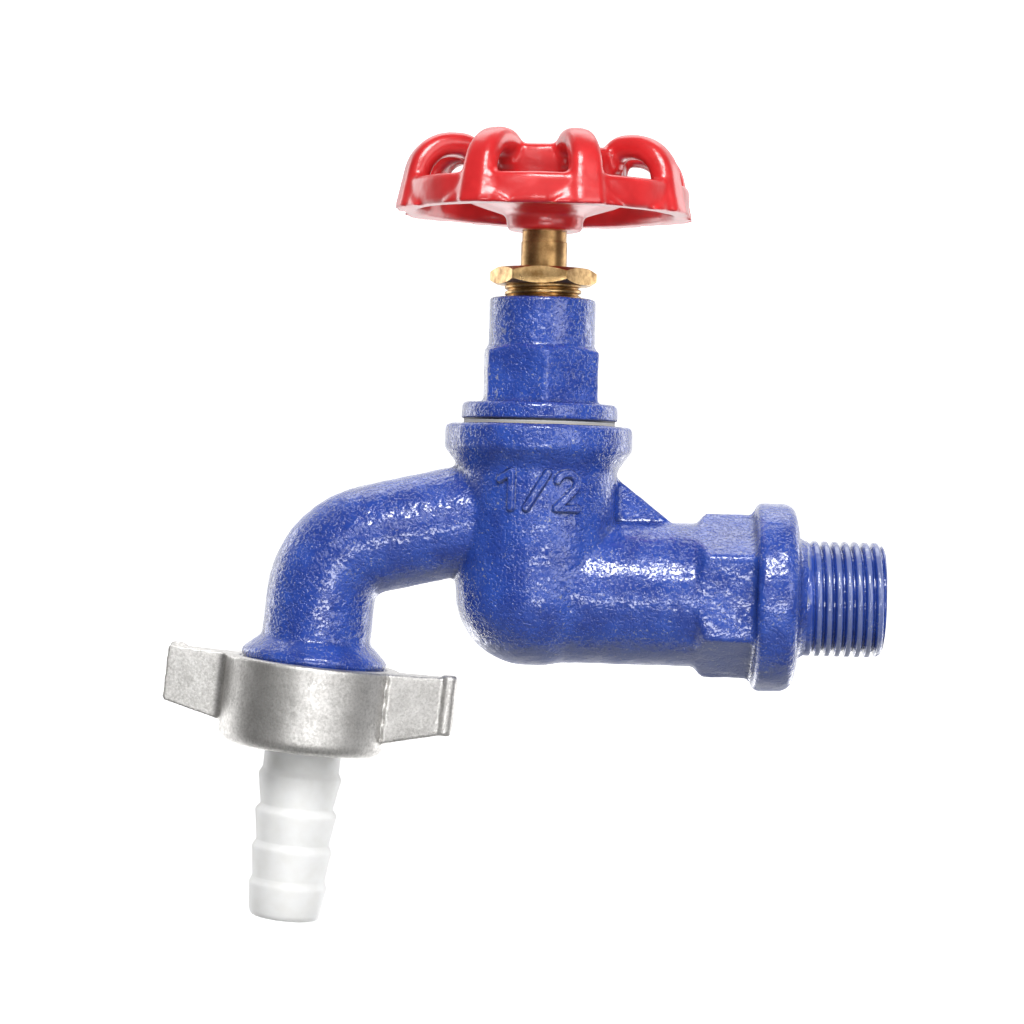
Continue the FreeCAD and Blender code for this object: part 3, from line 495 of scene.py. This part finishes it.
def blank_material(name: str, values: dict[str, Any]) -> tuple[Material, NodeTree, Node, Links]:
    """Starts a material with one Principled shader.

    Args:
        name: The finish, in a maker's words.
        values: The shader's sockets that are the same all over, with their values.

    Returns:
        The material, its tree, its shader and the link that feeds Object coordinates to a pattern.
    """
    made = bpy.data.materials.new(name)
    made.use_nodes = True
    tree = made.node_tree
    tree.nodes.clear()
    shader = add_node(tree, "ShaderNodeBsdfPrincipled", values)
    add_node(tree, "ShaderNodeOutputMaterial", links={"Surface": shader.outputs["BSDF"]})
    place = {"Vector": add_node(tree, "ShaderNodeTexCoord").outputs["Object"]}
    return made, tree, shader, place


def node_copy(node: str) -> BMesh:
    """Merged copy of a CAD node's mesh.

    Args:
        node: Name of the node.

    Returns:
        A new bmesh with shared vertices.
    """
    made = bmesh.new()
    made.from_mesh(frame["nodes"][node].data)
    bmesh.ops.remove_doubles(made, verts=made.verts, dist=MERGE)
    return made


def cut_away(made: BMesh, point: Vector, normal: Vector) -> None:
    """Cuts away what lies past a plane and closes the ring that is left.

    Args:
        made: Closed shell with a bore, so that the cut leaves two loops.
        point: A point on the plane.
        normal: Direction of what goes.
    """
    geometry = made.verts[:] + made.edges[:] + made.faces[:]
    bmesh.ops.bisect_plane(made, geom=geometry, plane_co=point, plane_no=normal, clear_outer=True,
                           dist=MERGE)
    rim = [edge for edge in made.edges if edge.is_boundary]
    bmesh.ops.triangle_fill(made, use_beauty=True, edges=rim, normal=normal)


def to_object(name: str, made: BMesh) -> Object:
    """Makes an object of a bmesh and frees it.

    Args:
        name: Name of the piece.
        made: Its shape, in metres, in its place.

    Returns:
        The linked object.
    """
    bmesh.ops.recalc_face_normals(made, faces=made.faces)
    mesh = bpy.data.meshes.new(name)
    made.to_mesh(mesh)
    made.free()
    piece = bpy.data.objects.new(name, mesh)
    bpy.context.scene.collection.objects.link(piece)
    return piece


def settle(piece: Object) -> None:
    """Applies every modifier of a piece.

    Args:
        piece: The piece, which keeps its name and place.
    """
    graph = bpy.context.evaluated_depsgraph_get()
    mesh = bpy.data.meshes.new_from_object(piece.evaluated_get(graph))
    piece.modifiers.clear()
    piece.data = mesh


def cast_skin(piece: Object, voxel_mm: float, smoothing: int, grain: Grain, lump_mm: float = 3.0,
              details: Callable[[BMesh], None] | None = None) -> None:
    """Turns a sharp shape into a casting: blended corners, rounded edges and an uneven skin.

    Args:
        piece: Closed shape that is changed.
        voxel_mm: Size of the cells that rebuild it.
        smoothing: Rounds of smoothing that round its edges.
        grain: Height of the skin's unevenness.
        lump_mm: Distance between its lumps.
        details: What adds cast details to the smooth skin before it is made uneven.
    """
    remesh = piece.modifiers.new("casting", "REMESH")
    remesh.mode = "VOXEL"
    remesh.voxel_size = mm(voxel_mm)
    smooth = piece.modifiers.new("fettling", "SMOOTH")
    smooth.factor = 0.5
    smooth.iterations = smoothing
    settle(piece)
    skin = bmesh.new()
    skin.from_mesh(piece.data)
    if details:
        details(skin)
    scale = 1.0 / mm(lump_mm)
    for vertex in skin.verts:
        # Half as much again from lumps 2.7 times finer, so that the skin doesn't look waved
        lump = noise.noise(vertex.co * scale) + 0.5 * noise.noise(vertex.co * scale * 2.7)
        vertex.co += vertex.normal * (lump * grain.value)
    skin.to_mesh(piece.data)
    skin.free()
    piece.data.shade_smooth()


def dress(piece: Object, material: Material, body: str, slot: str, *nodes: str) -> None:
    """Gives a finished piece its material and body, and hides the CAD nodes that it stands for.

    Args:
        piece: The finished piece.
        material: Its finish.
        body: Body that it rides on.
        slot: Material slot of the record; not used.
        nodes: CAD nodes that it replaces.
    """
    piece.data.materials.clear()
    piece.data.materials.append(material)
    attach(piece, body)
    if nodes:
        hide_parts(*nodes)
    log.info("%s: %d faces on %s", piece.name, len(piece.data.polygons), body)


def finish_node(node: str, material: Material) -> None:
    """Gives a CAD node that keeps its own mesh a better material.

    Args:
        node: Name of the node.
        material: Its finish.
    """
    slots = frame["nodes"][node].data.materials
    slots.clear()
    slots.append(material)
    log.info("%s: kept with %s", node, material.name)


def joint(name: str) -> dict[str, Any]:
    """The record's joint of this name."""
    return next(j for j in frame["record"]["behaviour"]["joints"] if j["name"] == name)


def along(origin: Vector, axis: Vector) -> Matrix:
    """Matrix that puts a shape made along Z on an axis.

    Args:
        origin: Where the shape's own origin goes.
        axis: Direction that its Z axis takes.

    Returns:
        The matrix, whose Y axis stays the frame's Y.
    """
    z = axis.normalized()
    y = Vector((0, 1, 0))
    x = y.cross(z).normalized()
    turned = Matrix((x, y, z)).transposed().to_4x4()
    return Matrix.Translation(origin) @ turned


def lathe(corners: list[tuple[float, float]], place: Matrix, steps: int = 128) -> BMesh:
    """Spins a closed outline about Z.

    Args:
        corners: Radius and height pairs in millimetres, round the section.
        place: Matrix to its place in the frame.
        steps: Faces round the axis.

    Returns:
        A closed ring-shaped shell.
    """
    made = bmesh.new()
    outline = [made.verts.new((mm(r), 0, mm(z))) for r, z in corners]
    edges = [made.edges.new((outline[i - 1], outline[i])) for i in range(len(outline))]
    bmesh.ops.spin(made, geom=outline + edges, cent=(0, 0, 0), axis=(0, 0, 1), angle=FULL_TURN,
                   steps=steps, use_merge=True)
    bmesh.ops.remove_doubles(made, verts=made.verts, dist=mm(0.001))
    bmesh.ops.transform(made, matrix=place, verts=made.verts)
    return made


@dataclass(frozen=True)
class ScrewThread:
    """Outside pipe or machine thread round a bore, cut square at both ends, in millimetres."""

    crest_r: float
    bore_r: float
    start: float
    end: float
    pitch: float = 1.814
    depth: float = 1.05
    chamfer: float = 0.9
    fade: float = 0.0  # length over which the groove runs out at the start
    steps: int = 72
    # Share of the pitch along the axis and share of the depth up from the root
    profile: tuple[tuple[float, float], ...] = (
        (0.0, 0.0), (0.06, 0.0), (0.15, 0.3), (0.25, 0.82), (0.34, 1.0), (0.7, 1.0), (0.79, 0.82),
        (0.89, 0.3), (0.98, 0.0), (1.0, 0.0))

    def shell(self, place: Matrix) -> BMesh:
        """Spins one pitch of the profile along the axis and closes it round its bore.

        Args:
            place: Matrix to its place in the frame.

        Returns:
            A closed shell.
        """
        made = bmesh.new()
        turns = math.ceil((self.end - self.start) / self.pitch) + 2
        points = []
        for share, height in self.profile:
            radius = self.crest_r - self.depth * (1 - height)
            points.append(made.verts.new((mm(radius), 0, mm(self.start + (share - 1.0) * self.pitch))))
        edges = [made.edges.new((points[i], points[i + 1])) for i in range(len(points) - 1)]
        bmesh.ops.spin(made, geom=points + edges, cent=(0, 0, 0), axis=(0, 0, 1), angle=FULL_TURN * turns,
                       dvec=(0, 0, mm(self.pitch / self.steps)), steps=self.steps * turns)
        bmesh.ops.remove_doubles(made, verts=made.verts, dist=mm(0.002))
        for height, way in ((self.start, -1), (self.end, 1)):
            bmesh.ops.bisect_plane(made, geom=made.verts[:] + made.edges[:] + made.faces[:],
                                   plane_co=(0, 0, mm(height)), plane_no=(0, 0, way), clear_outer=True)
        self.limit(made)
        self.close(made)
        bmesh.ops.transform(made, matrix=place, verts=made.verts)
        return made

    def limit(self, made: BMesh) -> None:
        """Chamfers the free end and lets the groove run out at the root.

        Args:
            made: The thread's skin along Z, before it is put in its place.
        """
        for vertex in made.verts:
            flat = Vector((vertex.co.x, vertex.co.y, 0))
            radius = flat.length / MM
            height = vertex.co.z / MM
            run_out = min(1.0, max(0.0, (height - self.start) / self.fade)) if self.fade else 1.0
            radius = self.crest_r - (self.crest_r - radius) * run_out
            radius = min(radius, self.crest_r - max(0.0, height - (self.end - self.chamfer)))
            flat.normalize()
            vertex.co.x, vertex.co.y = flat.x * mm(radius), flat.y * mm(radius)

    def close(self, made: BMesh) -> None:
        """Adds the bore and the two end faces.

        Args:
            made: The thread's skin along Z, open at both ends.
        """
        ends = []
        for height in (self.start, self.end):
            outer = [e for e in made.edges if e.is_boundary
                     and all(abs(v.co.z - mm(height)) < mm(0.01) for v in e.verts)]
            circle = bmesh.ops.create_circle(
                made, segments=self.steps, radius=mm(self.bore_r), cap_ends=False,
                matrix=Matrix.Translation((0, 0, mm(height))))["verts"]
            inner = list({e for v in circle for e in v.link_edges})
            bmesh.ops.triangle_fill(made, use_beauty=True, edges=outer + inner, normal=(0, 0, 1))
            ends.extend(inner)
        bmesh.ops.bridge_loops(made, edges=ends)


class Finishes:
    """Every finish of the tap, made once."""

    def __init__(self) -> None:
        """Makes the materials."""
        wheel_axis = Vector(joint("wheel_turn")["pos_m"])
        upright = (wheel_axis.x, wheel_axis.y, 0.0)
        self.blue = CastEnamel("blue_enamel_on_sand_cast_iron", "#2A4CA9", "#213C92", "#9CA0A8").material()
        self.thread_blue = CastEnamel("blue_enamel_on_cut_thread", "#3050AC", "#264298", "#9CA0A8",
                                      grain_mm=1.1, relief_mm=0.03, film_roughness=0.16, wear=0.8).material()
        self.red = DippedEnamel("red_enamel_on_iron", "#D92B2E", "#C41F22", "#7C1A18").material()
        self.bright_brass = TurnedMetal("machined_brass", "#CFAC78", "#8D6C42", upright).material()
        self.aged_brass = TurnedMetal("tarnished_brass", "#BC9764", "#8E6F47", upright, ring_mm=0.3,
                                      roughness=0.32).material()
        self.plated = TurnedMetal("zinc_plated_steel", "#D5D6D3", "#A4A6A5", upright).material()
        self.zinc = DieCastZinc("die_cast_zinc", "#DCDAD7", "#B6B4B1").material()
        self.nylon = MouldedNylon("natural_nylon", "#FAFBF9").material()
        self.rubber = SoftSeal("nitrile_rubber", "#2A2A2A", "#161616").material()
        gasket_low, gasket_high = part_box("bonnet_gasket")
        self.fibre = ShadowLinedGasket("pressed_fibre", gasket_low[2], gasket_high[2]).material()
        self.graphite = SoftSeal("graphite_cord", "#3A3B3E", "#1E1F21", grain_mm=0.4,
                                 roughness=0.5).material()


@dataclass
class Numerals:
    """Raised size figures 1/2 on the front of the barrel, cast with it, in millimetres."""

    axis_x: float
    height: float = 7.2
    half_stroke: float = 0.45
    flank: float = 0.3
    relief: float = 0.85
    centre_z: float = 18.3
    barrel_r: float = 14.5
    patch_half_width: float = 9.0
    patch_margin: float = 1.0
    patch_front: float = -8.0
    cuts: int = 2

    def strokes(self) -> list[list[tuple[float, float]]]:
        """Draws the figures as centre lines.

        Returns:
            The points of each stroke, in millimetres across and up from the middle of the sign.
        """
        half = self.height / 2 - self.half_stroke
        one = [(-6.8, half - 1.3), (-4.6, half), (-4.6, -half)]
        slash = [(1.9, half), (-1.8, -half)]
        # The bowl of the 2 runs in nine points from its left end round to the right, then down to the foot
        bowl_x, bowl_r = 5.45, 1.85
        two = []
        for index in range(9):
            angle = math.radians(165 - index * 24)
            two.append((bowl_x + bowl_r * math.cos(angle), half - bowl_r + bowl_r * math.sin(angle)))
        two += [(bowl_x - bowl_r - 0.1, -half), (bowl_x + bowl_r + 0.2, -half)]
        return [one, slash, two]

    def unroll(self, place: Vector) -> tuple[float, float]:
        """Millimetres across and up from the middle of the sign, on the barrel's skin."""
        angle = math.atan2(place.x - self.axis_x, -place.y)
        return angle * self.barrel_r, place.z / MM - self.centre_z

    def holds(self, place: Vector) -> bool:
        """Whether a point lies on the patch of skin that carries the figures."""
        across, up = self.unroll(place)
        return (place.y < mm(self.patch_front) and abs(across) < self.patch_half_width
                and abs(up) < self.height / 2 + self.patch_margin)

    def height_at(self, place: Vector) -> float:
        """How far the figures stand out at a point.

        Args:
            place: The point, on or near the barrel's skin.

        Returns:
            Their height there, in metres.
        """
        spot = Vector(self.unroll(place))
        gap = min((spot - self.nearest(spot, Vector(line[i]), Vector(line[i + 1]))).length
                  for line in self.strokes() for i in range(len(line) - 1))
        share = min(1.0, max(0.0, 1 - (gap - self.half_stroke) / self.flank))
        return mm(self.relief) * share * share * (3 - 2 * share)  # flanks round at the foot and the top

    def nearest(self, spot: Vector, start: Vector, end: Vector) -> Vector:
        """Finds the point of a straight line that is nearest to a spot.

        Args:
            spot: Where it is looked for from.
            start: One end of the line.
            end: Its other end.

        Returns:
            The nearest point.
        """
        run = end - start
        share = max(0.0, min(1.0, (spot - start).dot(run) / run.length_squared))
        return start + run * share

    def raise_on(self, skin: BMesh) -> None:
        """Divides the patch finely and pushes the figures out of it.

        Args:
            skin: The casting's skin.
        """
        patch = [edge for edge in skin.edges if all(self.holds(vertex.co) for vertex in edge.verts)]
        bmesh.ops.subdivide_edges(skin, edges=patch, cuts=self.cuts, use_grid_fill=True)
        for vertex in skin.verts:
            if self.holds(vertex.co):
                out = Vector((vertex.co.x - self.axis_x, vertex.co.y, 0)).normalized()
                vertex.co += out * self.height_at(vertex.co)
        skin.normal_update()


@dataclass
class TapBody:
    """Cast iron body with its figures, inlet thread and outlet thread."""

    finishes: Finishes
    inlet_thread: ScrewThread = ScrewThread(10.4775, 7.2, start=-0.6, end=13.8, fade=2.6)
    outlet_thread: ScrewThread = ScrewThread(13.22, 6.5, start=0.95, end=9.45, fade=0.6)
    outlet_cut: float = 1.35  # where the casting ends, just inside the thread's first turn
    thread_edge: float = 50.0  # sharper than this many degrees shows as an edge

    def build(self) -> None:
        """Makes the casting and both threads."""
        outlet = along(Vector(joint("union_turn")["pos_m"]), Vector(joint("union_turn")["axis"]))
        inlet = along(Vector((0, 0, 0)), Vector((1, 0, 0)))
        down = outlet.to_3x3() @ Vector((0, 0, 1))
        shape = node_copy("body_casting")
        cut_away(shape, Vector((0, 0, 0)), Vector((1, 0, 0)))
        cut_away(shape, outlet @ Vector((0, 0, mm(self.outlet_cut))), down)
        casting = to_object("cast_body", shape)
        figures = Numerals(joint("wheel_turn")["pos_m"][0])
        cast_skin(casting, voxel_mm=0.53, smoothing=3, grain=Grain.SAND, details=figures.raise_on)
        dress(casting, self.finishes.blue, "tap_body", "blue_enamel", "body_casting")
        self.thread("inlet_thread", self.inlet_thread, inlet)
        self.thread("outlet_thread", self.outlet_thread, outlet)

    def thread(self, name: str, screw: ScrewThread, place: Matrix) -> None:
        """Makes one painted pipe thread.

        Args:
            name: Name of the piece.
            screw: The thread's sizes.
            place: Matrix to its axis.
        """
        piece = to_object(name, screw.shell(place))
        piece.data.shade_smooth()
        piece.data.set_sharp_from_angle(angle=math.radians(self.thread_edge))
        dress(piece, self.finishes.thread_blue, "tap_body", "blue_enamel", "body_casting")


@dataclass
class Headwork:
    """Bonnet with its gasket, gland, packing and nut."""

    finishes: Finishes
    gland_thread_r: float = 7.0
    gland_bore_r: float = 4.1
    gland_pitch: float = 1.15
    gland_depth: float = 0.55
    gland_bite: float = 0.3  # how far the thread reaches into the hexagon
    hexagon_length: float = 3.05
    bevel: float = 0.18

    def build(self) -> None:
        """Makes the bonnet and the gland nut, and finishes the pieces inside."""
        bonnet = to_object("cast_bonnet", node_copy("bonnet"))
        cast_skin(bonnet, voxel_mm=0.34, smoothing=4, grain=Grain.SAND, lump_mm=2.4)
        dress(bonnet, self.finishes.blue, "tap_body", "blue_enamel", "bonnet")
        self.gland_nut()
        finish_node("bonnet_gasket", self.finishes.fibre)
        finish_node("gland_packing", self.finishes.graphite)
        for node in ("packing_washer", "gland_follower", "seat_ring"):
            finish_node(node, self.finishes.bright_brass)

    def gland_nut(self) -> None:
        """Makes the gland nut: its hexagon and a real thread below."""
        low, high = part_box("gland_nut")
        axis_x = joint("wheel_turn")["pos_m"][0]
        hex_z = high[2] - mm(self.hexagon_length)
        nut = node_copy("gland_nut")
        # Just below the hexagon's face, so that the cut doesn't run through it
        cut_away(nut, Vector((0, 0, hex_z - mm(0.02))), Vector((0, 0, -1)))
        piece = to_object("gland_hexagon", nut)
        bevel = piece.modifiers.new("edges", "BEVEL")
        bevel.width = mm(self.bevel)
        bevel.segments = 2
        bevel.limit_method = "ANGLE"
        bevel.angle_limit = math.radians(25)
        settle(piece)
        piece.data.shade_smooth()
        piece.data.set_sharp_from_angle(angle=math.radians(35))
        dress(piece, self.finishes.bright_brass, "tap_body", "bright_brass", "gland_nut")
        screw = ScrewThread(self.gland_thread_r, self.gland_bore_r, low[2] / MM, hex_z / MM + self.gland_bite,
                            self.gland_pitch, self.gland_depth, chamfer=0.0)
        thread = to_object("gland_thread", screw.shell(Matrix.Translation((axis_x, 0, 0))))
        thread.data.shade_smooth()
        dress(thread, self.finishes.bright_brass, "tap_body", "bright_brass", "gland_nut")


@dataclass
class Wheel:
    """Handwheel, spindle and the fasteners that hold them together."""

    finishes: Finishes

    def build(self) -> None:
        """Makes the wheel's casting and finishes the spindle and its fasteners."""
        wheel = to_object("cast_handwheel", node_copy("handwheel"))
        # The thick film rounds every edge of the wheel, so it is smoothed the most
        cast_skin(wheel, voxel_mm=0.36, smoothing=24, grain=Grain.SMOOTH, lump_mm=5.0)
        dress(wheel, self.finishes.red, "wheel", "red_enamel", "handwheel")
        finish_node("spindle", self.finishes.aged_brass)
        for node in ("wheel_washer", "wheel_spring_washer", "wheel_nut"):
            finish_node(node, self.finishes.plated)
        for node in ("jumper", "washer_nut"):
            finish_node(node, self.finishes.bright_brass)
        finish_node("valve_washer", self.finishes.rubber)


@dataclass
class HoseUnion:
    """Wing nut, hose tail and the washer above them, in millimetres down from the spout's rim."""

    finishes: Finishes
    bore_r: float = 4.75
    flange_r: float = 12.5
    neck_r: float = 7.0
    flange_top: float = 11.95
    floor: float = 14.45
    first_crest: float = 7.3
    pitch: float = 6.67  # from barb to barb
    crest_first_r: float = 7.6
    crest_last_r: float = 7.15
    root_r: float = 6.7
    barbs: int = 4
    end: float = 47.85
    end_r: float = 6.5
    edge: float = 0.3
    # Insets from the radius and distances from the crest or the end, in the order of the outline
    barb_round: tuple[tuple[float, float], ...] = ((0.16, -0.32), (0.04, -0.12), (0.0, 0.15), (0.03, 0.6))
    end_round: tuple[tuple[float, float], ...] = ((-0.1, -1.2), (0.1, -0.5), (0.45, -0.12), (0.9, 0.0))

    def build(self) -> None:
        """Makes the nut and the tail."""
        outlet = along(Vector(joint("union_turn")["pos_m"]), Vector(joint("union_turn")["axis"]))
        nut = to_object("cast_wing_nut", node_copy("wing_nut"))
        cast_skin(nut, voxel_mm=0.3, smoothing=3, grain=Grain.DIE, lump_mm=2.0)
        dress(nut, self.finishes.zinc, "union_nut", "die_cast", "wing_nut")
        tail = to_object("moulded_tail", lathe(self.tail_outline(), outlet))
        tail.data.shade_smooth()
        tail.data.set_sharp_from_angle(angle=math.radians(55))
        dress(tail, self.finishes.nylon, "hose_connector", "clear_nylon", "hose_tail")
        finish_node("hose_washer", self.finishes.rubber)

    def tail_outline(self) -> list[tuple[float, float]]:
        """Draws the tail's section: flange, neck and rounded barbs.

        Returns:
            Radius and height pairs, in millimetres down from the spout's rim.
        """
        outline = [(self.bore_r, self.flange_top), (self.flange_r - self.edge, self.flange_top),
                   (self.flange_r, self.flange_top + self.edge), (self.flange_r, self.floor - self.edge),
                   (self.flange_r - self.edge, self.floor), (self.neck_r + 0.2, self.floor),
                   (self.neck_r, self.floor + 0.2)]
        for index in range(self.barbs):
            crest = self.floor + self.first_crest + index * self.pitch
            radius = self.crest_first_r + (self.crest_last_r - self.crest_first_r) * index / (self.barbs - 1)
            root = self.neck_r if index == 0 else self.root_r
            outline += [(root, crest - 1.3), (root + 0.05, crest - 1.0)]
            outline += [(radius - inset, crest + rise) for inset, rise in self.barb_round]
        outline += [(self.end_r - inset, self.end + rise) for inset, rise in self.end_round]
        return outline + [(self.bore_r + 0.4, self.end), (self.bore_r, self.end - 0.4)]


@dataclass(frozen=True)
class Softbox:
    """Soft light that faces the tap's middle: its place from there, its size and its power."""

    name: str
    offset: tuple[float, float, float]
    width: float
    height: float
    power: float

    def hang(self, centre: Vector) -> None:
        """Hangs the light at its offset from the middle, unseen by the camera.

        Args:
            centre: Middle of the tap.
        """
        light = bpy.data.lights.new(self.name, "AREA")
        light.shape = "RECTANGLE"
        light.size = self.width
        light.size_y = self.height
        light.energy = self.power
        holder = bpy.data.objects.new(self.name, light)
        holder.location = centre + Vector(self.offset)
        holder.rotation_mode = "QUATERNION"
        holder.rotation_quaternion = (-Vector(self.offset)).to_track_quat("-Z", "Y")
        holder.visible_camera = False
        bpy.context.scene.collection.objects.link(holder)


# A bright one above the camera, dim ones round it, one overhead, one below and two behind
SOFTBOXES = (
    Softbox("key", (0.02, -0.73, 0.62), 0.42, 0.28, 7.6),
    Softbox("front_left", (-0.24, -0.75, 0.26), 0.3, 0.2, 0.4),
    Softbox("front_right", (0.5, -0.62, 0.16), 0.45, 0.5, 2.0),
    Softbox("low", (0.05, -0.58, -0.11), 0.3, 0.09, 0.8),
    Softbox("overhead", (0.0, 0.38, 0.75), 0.8, 0.45, 2.2),
    Softbox("below", (0.0, 0.33, -0.25), 0.6, 0.3, 1.0),
    Softbox("rim_left", (-0.62, 0.42, 0.05), 0.3, 0.7, 1.5),
    Softbox("rim_right", (0.62, 0.42, 0.05), 0.3, 0.7, 1.5),
)


@dataclass
class Studio:
    """White cove, soft lights and the camera, in metres and degrees."""

    floor_z: float = -0.26
    camera_z: float = 0.0199
    distance: float = 0.548
    focal_px: float = 3000.0
    picture_px: float = 1024.0
    yaw: float = 1.0
    roll: float = 1.6
    aim_x: float = -0.05403
    aim_z: float = 0.0142
    cove_radius: float = 0.6
    cove_steps: int = 12
    floor_front: float = -2.0
    wall_y: float = 1.6
    wall_top: float = 2.4
    wall_width: float = 6.0

    def build(self) -> None:
        """Makes the cove, the world, the lights and the camera."""
        self.cove()
        self.world()
        for softbox in SOFTBOXES:
            softbox.hang((cad_low + cad_high) / 2)
        self.camera()

    def cove(self) -> None:
        """Floor that sweeps up into the wall behind."""
        made = bmesh.new()
        radius = self.cove_radius
        sweep_y = self.wall_y - radius
        line = [(self.floor_front, self.floor_z), (sweep_y, self.floor_z)]
        for index in range(1, self.cove_steps + 1):
            angle = math.radians(90 * index / self.cove_steps)
            line.append((sweep_y + radius * math.sin(angle), self.floor_z + radius * (1 - math.cos(angle))))
        line.append((self.wall_y, self.wall_top))
        points = [made.verts.new((-self.wall_width / 2, y, z)) for y, z in line]
        edges = [made.edges.new((points[i], points[i + 1])) for i in range(len(points) - 1)]
        wide = bmesh.ops.extrude_edge_only(made, edges=edges)["geom"]
        moved = [item for item in wide if isinstance(item, BMVert)]
        bmesh.ops.translate(made, vec=(self.wall_width, 0, 0), verts=moved)
        cove = to_object("cove", made)
        cove.data.shade_smooth()
        cove.data.materials.append(self.paper())

    def paper(self) -> Material:
        """White paper, grey towards the front, that looks white in the picture and keeps the shadow.

        Returns:
            A matte material that gives off white where the camera or a glossy surface sees it.
        """
        made, tree, shader, place = blank_material(
            "white_paper", {"Roughness": 0.9, "Specular IOR Level": 0.1, "Emission Color": grey(1.0)})
        split = add_node(tree, "ShaderNodeSeparateXYZ", links=place)
        depth = add_node(tree, "ShaderNodeMapRange", {"From Min": 0.0, "From Max": 0.3},
                         {"Value": split.outputs["Y"]})
        colour = add_node(tree, "ShaderNodeValToRGB", links={"Fac": depth.outputs["Result"]},
                          stops=[(0.0, grey(0.22)), (1.0, grey(0.9))])
        tree.links.new(colour.outputs["Color"], shader.inputs["Base Color"])
        path = add_node(tree, "ShaderNodeLightPath")
        seen = add_node(tree, "ShaderNodeMath", operation="MAXIMUM", links={
            0: path.outputs["Is Camera Ray"], 1: path.outputs["Is Transmission Ray"]})
        mirrored = add_node(tree, "ShaderNodeMath", operation="MULTIPLY", links={
            0: path.outputs["Is Glossy Ray"], 1: depth.outputs["Result"]})
        either = add_node(tree, "ShaderNodeMath", operation="MAXIMUM", links={
            0: seen.outputs["Value"], 1: mirrored.outputs["Value"]})
        share = add_node(tree, "ShaderNodeMath", {1: 0.9}, {0: either.outputs["Value"]}, operation="MULTIPLY")
        tree.links.new(share.outputs["Value"], shader.inputs["Emission Strength"])
        return made

    def world(self) -> None:
        """Even white surroundings that darken behind the camera."""
        world = bpy.data.worlds.new("studio")
        bpy.context.scene.world = world
        world.use_nodes = True
        tree = world.node_tree
        tree.nodes.clear()
        ways = add_node(tree, "ShaderNodeTexCoord").outputs["Generated"]
        split = add_node(tree, "ShaderNodeSeparateXYZ", links={"Vector": ways})
        depth = add_node(tree, "ShaderNodeMapRange", {"From Min": -0.1, "From Max": 0.55},
                         {"Value": split.outputs["Y"]})
        colour = add_node(tree, "ShaderNodeValToRGB", links={"Fac": depth.outputs["Result"]},
                          stops=[(0.0, grey(0.12)), (1.0, grey(0.85))])
        around = add_node(tree, "ShaderNodeBackground", {"Strength": 1.0}, {"Color": colour.outputs["Color"]})
        plain = add_node(tree, "ShaderNodeBackground", {"Color": grey(1.0), "Strength": 1.0})
        seen = add_node(tree, "ShaderNodeLightPath").outputs["Is Camera Ray"]
        both = add_node(tree, "ShaderNodeMixShader", links={
            "Fac": seen, 1: around.outputs["Background"], 2: plain.outputs["Background"]})
        add_node(tree, "ShaderNodeOutputWorld", links={"Surface": both.outputs["Shader"]})

    def camera(self) -> None:
        """Camera at the photograph's height, distance and slight roll."""
        data = bpy.data.cameras.new("camera")
        data.lens = self.focal_px / self.picture_px * data.sensor_width
        data.clip_start = 0.01
        data.clip_end = 50.0
        holder = bpy.data.objects.new("camera", data)
        yaw = math.radians(self.yaw)
        target = Vector((self.aim_x, 0, self.aim_z))
        place = Vector((target.x + self.distance * math.sin(yaw), -self.distance * math.cos(yaw),
                        self.camera_z))
        look = (target - place).to_track_quat("-Z", "Y")
        holder.location = place
        holder.rotation_mode = "QUATERNION"
        holder.rotation_quaternion = look @ Matrix.Rotation(math.radians(self.roll), 4, "Z").to_quaternion()
        bpy.context.scene.collection.objects.link(holder)
        bpy.context.scene.camera = holder


def main() -> None:
    """Builds the sub-assemblies in order."""
    logging.basicConfig(level=logging.INFO, format="%(name)s: %(message)s")
    bpy.context.scene.view_settings.view_transform = "Standard"
    Studio().build()
    finishes = Finishes()
    TapBody(finishes).build()
    Headwork(finishes).build()
    Wheel(finishes).build()
    HoseUnion(finishes).build()


if __name__ == "__main__":
    main()
